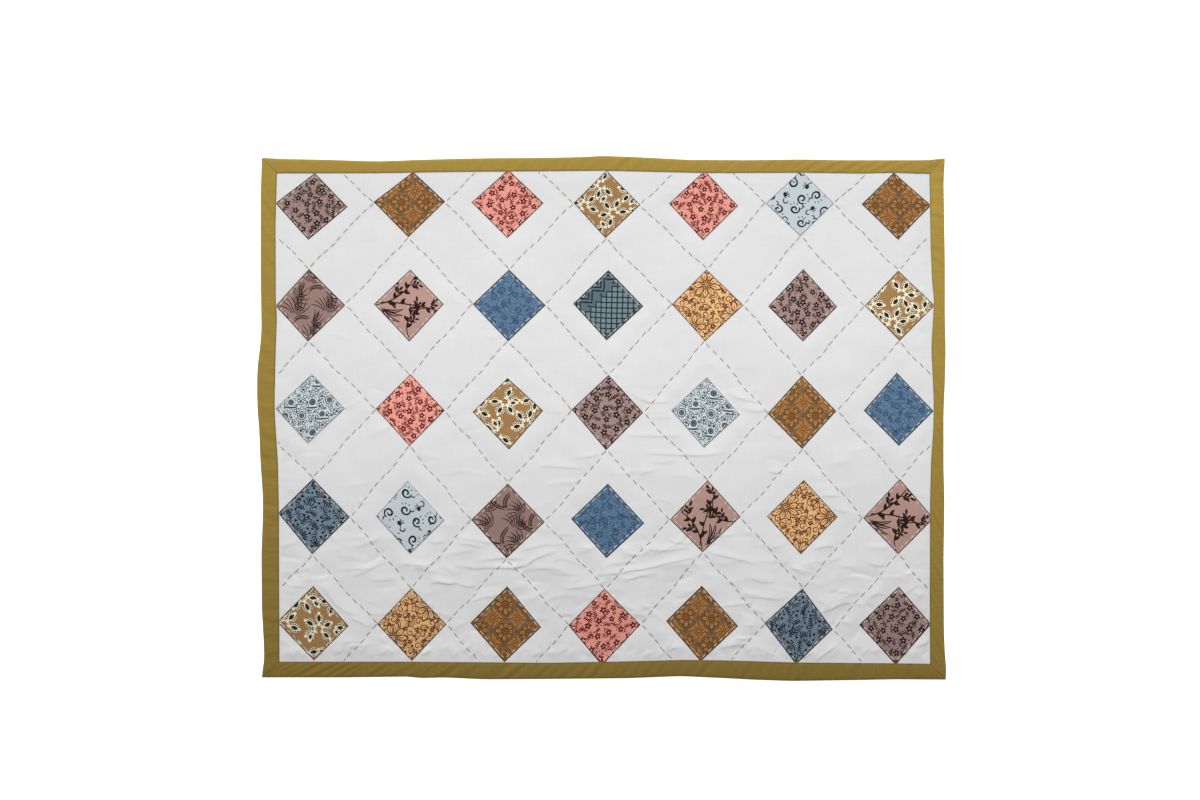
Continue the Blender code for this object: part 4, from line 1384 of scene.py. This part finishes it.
def discs(rng):
    """Grey-blue discs over short bars, among line-drawn flowers and rings."""
    marks = []
    for x, y, _ in scattered(rng, 6.2, 0.35):
        marks += dark(dash(x, y, rng.uniform(0, 180), rng.uniform(2, 4), 1.2))
    for x, y, kind in scattered(rng, 12.6, 0.16):
        turn = rng.uniform(0, 360)
        if kind == 0:
            petals = [off(x, y, angle, 4.1) for angle in turn + 72 * np.arange(5)]
            marks += dark(*[blob(*spot, 3.3, sides=8) for spot in petals])
            marks += light(*[blob(*spot, 1.8, sides=7) for spot in petals])
            marks += dark(blob(x, y, 1.7, sides=6))
        elif kind == 1:
            marks += hoop(x, y, 3.6, 1.5, "dark", "light")
            marks += dark(dash(*off(x, y, turn, 6.5), turn + 50, 5, 2))
        else:
            marks += dark(blob(x, y, 2.9, 0.7, turn, 5))
            marks += fan(x, y, turn, 3, 6, 1.6, 90, start=2)
    for x, y, kind in scattered(rng, 36, 0.12):
        size = (9.2, 5.8, 6.6)[kind]
        marks += light(blob(x, y, size + 1.4, sides=16))
        marks += dark(blob(x, y, size, sides=16))
        if kind:
            marks += hoop(x, y, size * 0.62, 1.1, "mid", "dark")
            bar = sweep(x - 11, y - size - 3.6, -5, 21, 12, 6)
            marks += light(stroke(bar, 6, 0.9)) + dark(stroke(bar, 3.7, 0.8))
        else:
            marks += hoop(x, y, size * 0.76, 1.5, "light", "dark")
            marks += hoop(x, y, size * 0.36, 1.3, "mid", "dark")
    return marks


def leafy(rng):
    """Dense navy sprigs, rows of bent strokes and spots."""
    marks = specks(rng, 4.6, 0.85)
    for x, y, kind in scattered(rng, 15.5, 0.14):
        turn = rng.uniform(0, 360)
        if kind == 0:
            marks += sprig(*off(x, y, turn, -8), turn, 16, 4, 6.2, 2.3, turn=45)
        elif kind == 1:
            marks += fan(*off(x, y, turn, -4), turn, 5, 9.5, 2.2, 130, start=3, turn=28)
        else:
            for angle in turn + np.array((0, 110, 235)):
                marks += dark(blob(*off(x, y, angle, 5), rng.uniform(2.2, 2.9), 0.85, angle, 8))
    return marks


DESIGNS = {
    "mauve_ditsy": ditsy, "rust_medallion": medallion, "coral_ditsy": ditsy, "tan_petal": petal,
    "pale_swirl": swirl, "mauve_foliage": foliage, "pink_vine": vine, "denim_tone": denim,
    "teal_grid": grid_print, "apricot_floral": daisy, "pale_floral": discs, "slate_ditsy": leafy,
}


# Printed squares


def square_outline(radius, count=24):
    """Points round a square that stands on a corner, anticlockwise, count to a side."""
    places = np.linspace(0, 4, 4 * count, endpoint=False)
    across_x = np.interp(places, range(5), [radius, 0, -radius, 0, radius])
    across_y = np.interp(places, range(5), [0, radius, 0, -radius, 0])
    return np.column_stack([across_x, across_y])


def square_layers(marks):
    """The square's edge, which carries painted shade, its ground and the marks that reach it, the
    lowest first.
    """
    fold = TURNED_EDGE * np.sqrt(2)
    layers = [
        ("edge", square_outline(SQUARE)),
        ("edge", square_outline(SQUARE - EDGE_RING * fold)),
        ("ground", square_outline(SQUARE - fold)),
    ]
    return layers + [mark for mark in marks if np.abs(mark[1]).sum(axis=1).min() < SQUARE]


def cut_square(marks):
    """Triangles of the square with its marks cut in: points, faces and each face's ink."""
    layers = square_layers(marks)
    outer, inner = 0, 2  # the layers of the whole square and of its flat ground
    points = np.vstack([outline for _, outline in layers])
    faces, start = [], 0
    for _, outline in layers:
        faces.append(list(range(start, start + len(outline))))
        start += len(outline)
    spread = np.arange(-SQUARE, SQUARE, CLOTH_PITCH)
    loose = np.array([(x, y) for x in spread for y in spread if abs(x) + abs(y) < SQUARE - 4])
    points = [Vector(spot) for spot in np.vstack([points, loose]).tolist()]
    found = geometry.delaunay_2d_cdt(points, [], faces, 1, 1e-4, True)
    kept, inks = [], []
    for triangle, owners in zip(found[2], found[5]):
        if outer not in owners:
            continue
        kept.append(triangle)
        # Faces outside the flat ground make the turned edge, which takes its painted shade
        inks.append(layers[max(owners)][0] if inner in owners else "edge")
    used = sorted({corner_of for triangle in kept for corner_of in triangle})
    number = {old: new for new, old in enumerate(used)}
    spots = np.array([found[0][old][:] for old in used])
    return spots, [[number[old] for old in triangle] for triangle in kept], inks


def slipped(spots, corners):
    """Points of a square whose four corners have slipped a little, as handwork leaves them."""
    x, y = spots.T / SQUARE
    pulls = np.maximum(0, np.array([x, y, -x, -y]))
    return spots + pulls.T @ corners


def on_patch(row, column, corners, spots, lift):
    """Where millimetre points of one square lie on the quilt, lift above the top cloth."""
    x, y = (slipped(spots, corners) * HALF_PATCH / SQUARE).T
    u, v = column + x, row - y
    return np.column_stack([*place(u, v), top_height(u, v) + lift])


def turned_drop(spots):
    """How far a square's rounded edge comes down."""
    to_edge = (SQUARE - np.abs(spots).sum(axis=1)) / np.sqrt(2)
    share = 1 - np.clip(to_edge / TURNED_EDGE, 0, 1)
    return EDGE_DROP * (1 - np.sqrt(1 - share**2))


def add_patch(row, column, print_name, material):
    """One printed square, sewn on with its edges turned under."""
    rng = np.random.default_rng(100 * row + column)
    corners = np.array(CORNER_SLIPS[row, column])
    spots, faces, inks = cut_square(DESIGNS[print_name](rng))
    points = on_patch(row, column, corners, spots, PATCH_LIFT - turned_drop(spots))
    node = f"patch_r{row}_c{column}"
    piece = add_object(f"{node}_cloth", points, faces, material)
    # Painted shade: the lower rows are darker, and the turned edge is much darker than the print's
    # ground
    painted_row_shade = np.array((*[ROW_PAINTED_SHADE[row - 1]] * 3, 1.0))
    inks_with_painted_shade = {ink: linear(screen) * painted_row_shade for ink, screen in INKS[print_name].items()}
    painted_edge_shade = PALE_EDGE_PAINTED_SHADE if print_name in PALE_PRINTS else EDGE_PAINTED_SHADE
    inks_with_painted_shade["edge"] = inks_with_painted_shade["ground"] * np.array((*[painted_edge_shade] * 3, 1.0))
    colours = np.repeat([inks_with_painted_shade[ink] for ink in inks], 3, axis=0)
    dye = piece.data.color_attributes.new("dye", "FLOAT_COLOR", "CORNER")
    dye.data.foreach_set("color", colours.astype(np.float32).ravel())
    finished(piece, print_name, node)
    return corners


# Stitches


def stitch_mesh(lines, radius):
    """Rounded threads along centre lines: stitches by points by x, y and z."""
    count, steps, _ = lines.shape
    sides = THREAD_SIDES
    run = lines[:, -1] - lines[:, 0]
    run /= np.linalg.norm(run, axis=1)[:, None]
    beside = np.cross(run, (0, 0, 1.0))
    beside /= np.linalg.norm(beside, axis=1)[:, None]
    turn = np.linspace(0, 2 * np.pi, sides, endpoint=False)
    bulge = np.sin(np.pi * np.linspace(0, 1, steps)) ** 0.5
    swell = radius * (THREAD_TIP + (1 - THREAD_TIP) * bulge)
    ring = np.cos(turn)[None, :, None] * beside[:, None, :]
    ring = ring + THREAD_FLATNESS * np.sin(turn)[None, :, None] * np.array((0, 0, 1.0))
    points = lines[:, :, None, :] + swell[None, :, None, None] * ring[:, None, :, :]
    faces = []
    for first in range(0, count * steps * sides, steps * sides):
        for step in range(steps - 1):
            low = first + step * sides
            for k in range(sides):
                following = (k + 1) % sides
                faces.append((low + k, low + following, low + sides + following, low + sides + k))
        last = first + (steps - 1) * sides
        faces.append([first + k for k in range(sides)][::-1])
        faces.append([last + k for k in range(sides)])
    return points.reshape(-1, 3), faces


def corner_slip(a, b):
    """How far the square's corner at a crossing of quilting lines has slipped, as u and v."""
    middle = [2 * round((way - 1) / 2) + 1 for way in (a, b)]
    column, row = sum(middle) // 2, (middle[0] - middle[1]) // 2
    slips = CORNER_SLIPS.get((row, column), [(0, 0)] * 4)
    number = {(1, 1): 0, (0, 1): 1, (0, 0): 2, (1, 0): 3}[a > middle[0], b > middle[1]]
    return np.array(slips[number]) * (1, -1) * HALF_PATCH / SQUARE


def cut_at_seam(first, last):
    """Points along stitches between their ends, up to the seam. Stubs are left out."""
    low, high = GRID_LOW + SEAM_MARGIN, GRID_HIGH - SEAM_MARGIN
    to_low, to_high = (low - first) / (last - first), (high - first) / (last - first)
    begin = np.clip(np.minimum(to_low, to_high).max(axis=1), 0, 1)
    end = np.clip(np.maximum(to_low, to_high).min(axis=1), 0, 1)
    long = end - begin > STUB
    begin, end, first, last = (values[long] for values in (begin, end, first, last))
    shares = begin[:, None] + (end - begin)[:, None] * np.linspace(0, 1, STITCH_POINTS)
    return first[:, None] + shares[:, :, None] * (last - first)[:, None]


def lattice_spans():
    """Each span of a quilting line between crossing bands: its line, its start and which way."""
    for way, odds in ((1, range(3, 12, 2)), (-1, range(-3, 6, 2))):
        for odd in odds:
            for line in (odd - HALF_PATCH, odd + HALF_PATCH):
                for start in np.arange(-5 + HALF_PATCH, 13, 2):
                    yield line, start, way


def quilting_stitches():
    """Grid points along each stitch of the lattice, as u and v."""
    rng = np.random.default_rng(7)
    span = 2 * (1 - HALF_PATCH)
    ends = []
    for line, start, way in lattice_spans():
        crossings = [(line, place_on)[::way] for place_on in (start, start + span)]
        slips = [corner_slip(*crossing) for crossing in crossings]
        for number in range(STITCHES_BETWEEN):
            first = number + STITCH_START + rng.uniform(0, START_VARIES)
            last = first + STITCH_SHARE + rng.uniform(-SHARE_VARIES, SHARE_VARIES)
            wander = STITCH_WANDER[0] * np.sin(1.1 * number + 1.7 * line + 0.9 * start)
            beside = line + wander + STITCH_WANDER[1] * rng.uniform(-1, 1, 2)
            for on_line, share in zip(beside, np.array((first, last)) / STITCHES_BETWEEN):
                a, b = (on_line, start + share * span)[::way]
                slip = slips[0] + share * (slips[1] - slips[0])
                ends.append(slip + ((a + b) / 2, (a - b) / 2))
    ends = np.array(ends).reshape(-1, 2, 2)
    return cut_at_seam(ends[:, 0], ends[:, 1]).transpose(2, 0, 1)


def stitch_arch(shape):
    """Each stitch's rise over its length: its ends dive into the cloth."""
    share = np.linspace(0, 1, shape[1])
    return STITCH_RISE * np.sin(np.pi * share) ** 0.6 - STITCH_DIVE


def add_quilting(material):
    """The stitches of the lattice, on the top cloth and on the backing."""
    u, v = quilting_stitches()
    lines = []
    for height_of, share in ((top_height, 1), (backing_height, -UNDER_SHARE)):
        height = height_of(u.ravel(), v.ravel()).reshape(u.shape)
        lines.append(np.stack([*place(u, v), height + share * stitch_arch(u.shape)], axis=2))
    lines = np.concatenate(lines)
    piece = add_object("quilting_stitches", *stitch_mesh(lines, QUILTING_THREAD_RADIUS), material)
    finished(piece, "ground_cotton")


def side_stitches(rng):
    """Running stitches just inside a square's edge, in millimetres."""
    corner_at = SQUARE - SIDE_STITCH_INSET * np.sqrt(2)
    ends = np.array([(corner_at, 0), (0, corner_at), (-corner_at, 0), (0, -corner_at)])
    lines = []
    for start, end in zip(ends, np.roll(ends, -1, axis=0)):
        pitch = 1 / (SIDE_STITCHES + 0.1)
        for number in range(SIDE_STITCHES):
            first = (number + SIDE_START + rng.uniform(0, SIDE_START)) * pitch
            share = np.linspace(first, first + pitch * rng.uniform(*SIDE_SHARE), STITCH_POINTS)
            aside = rng.uniform(-SIDE_ASIDE, SIDE_ASIDE, 2)
            lines.append(start + share[:, None] * (end - start) + aside)
    return np.array(lines)


def add_edge_stitches(corners_of, material):
    """The stitches that hold the printed squares."""
    lines = []
    for (row, column), corners in corners_of.items():
        stitches = side_stitches(np.random.default_rng(500 + 10 * row + column))
        flat = on_patch(row, column, corners, stitches.reshape(-1, 2), PATCH_LIFT)
        spots = flat.reshape(*stitches.shape[:2], 3)
        spots[:, :, 2] += stitch_arch(stitches.shape)
        lines.append(spots)
    threads = stitch_mesh(np.concatenate(lines), EDGE_THREAD_RADIUS)
    piece = add_object("patch_stitches", *threads, material)
    finished(piece, "ground_cotton")


# Floor, light and camera

CAMERA_SPAN = 2.281  # metres across the picture
CAMERA_LENS, CAMERA_SENSOR = 85, 36
CAMERA_OFF = (-0.0034, 0.0349)
DAYLIGHT_HEIGHT = 36  # degrees above the surface, from the layout's top edge
DAYLIGHT = 2.03
OVERHEAD_AT = (0.08, 0.27, 0.8)
OVERHEAD_SIZE = (2.4, 0.3)
OVERHEAD_POWER = 4.6
ROOM_LIGHT = 0.3
FLOOR_REACH, FLOOR_HEIGHT = 14.0, -0.3 * MM
FLOOR_COLOUR, FLOOR_GLOW = (0.9, 0.9, 0.9, 1), 0.9
WHITE = (1, 1, 1, 1)


def add_floor():
    """A bright floor, wide enough to fill the picture from low down too."""
    material, shader = new_material("floor", 0.95)
    shader.inputs["Base Color"].default_value = FLOOR_COLOUR
    shader.inputs["Emission Color"].default_value = WHITE
    shader.inputs["Emission Strength"].default_value = FLOOR_GLOW
    corners = FLOOR_REACH * np.array([(-1, -1), (1, -1), (1, 1), (-1, 1)])
    points = [(*spot, FLOOR_HEIGHT) for spot in corners]
    add_object("floor", points, [(0, 1, 2, 3)], material)


def add_lamp(name, kind, energy, towards, at=(0, 0, 3)):
    """A lamp that the camera doesn't see."""
    lamp = bpy.data.lights.new(name, kind)
    lamp.energy = energy
    made = link(name, lamp)
    made.location = at
    made.rotation_euler = Vector(towards).to_track_quat("-Z", "Y").to_euler()
    made.visible_camera = False
    return lamp


def add_lights():
    """Low daylight from beyond the top edge, a soft lamp overhead and a bright room."""
    slope = np.radians(DAYLIGHT_HEIGHT)
    daylight = add_lamp("daylight", "SUN", DAYLIGHT, (0.08, -np.cos(slope), -np.sin(slope)))
    daylight.angle = np.radians(14)
    overhead = add_lamp("overhead", "AREA", OVERHEAD_POWER, (0, 0, -1), OVERHEAD_AT)
    overhead.shape = "RECTANGLE"
    overhead.size, overhead.size_y = OVERHEAD_SIZE
    world = bpy.data.worlds.new("room")
    world.use_nodes = True
    sky = world.node_tree.nodes["Background"]
    sky.inputs["Color"].default_value = WHITE
    sky.inputs["Strength"].default_value = ROOM_LIGHT
    bpy.context.scene.world = world
    bpy.context.scene.view_settings.view_transform = "Standard"


def add_camera():
    """A camera straight above, as far off as its span and lens ask for."""
    camera = bpy.data.cameras.new("camera")
    camera.lens, camera.sensor_width = CAMERA_LENS, CAMERA_SENSOR
    made = link("camera", camera)
    made.location = (*CAMERA_OFF, CAMERA_SPAN * CAMERA_LENS / CAMERA_SENSOR)
    bpy.context.scene.camera = made


def main():
    """Builds the quilt and the scene round it."""
    white = cotton("white_cotton", GROUND_COTTON, 0.012, 0.05 * MM)
    add_top(white)
    add_backing(white)
    for side in ("top", "bottom", "left", "right"):
        ways = (0.5, 2) if side in LEVEL_SIDES else (2, 0.5)
        # Each binding's colour is scaled by the painted light and shade in its seam attribute
        cloth = cotton(f"mustard_cotton_{side}", BINDING_COTTON, 0.03, 0.06 * MM, ways, "seam")
        add_binding(side, cloth)
    corners_of = {}
    # The squares' dye attribute holds their print with painted shade in it
    prints = {name: cotton(name, "dye", 0.025, 0.05 * MM) for name in INKS}
    for row, names in zip(ROWS, PATCH_PRINTS):
        for column, name in zip(COLUMNS, names.split()):
            corners_of[row, column] = add_patch(row, column, name, prints[name])
    add_quilting(thread("quilting_thread", QUILTING_THREAD))
    add_edge_stitches(corners_of, thread("edge_thread", EDGE_THREAD))
    add_floor()
    add_lights()
    add_camera()


main()
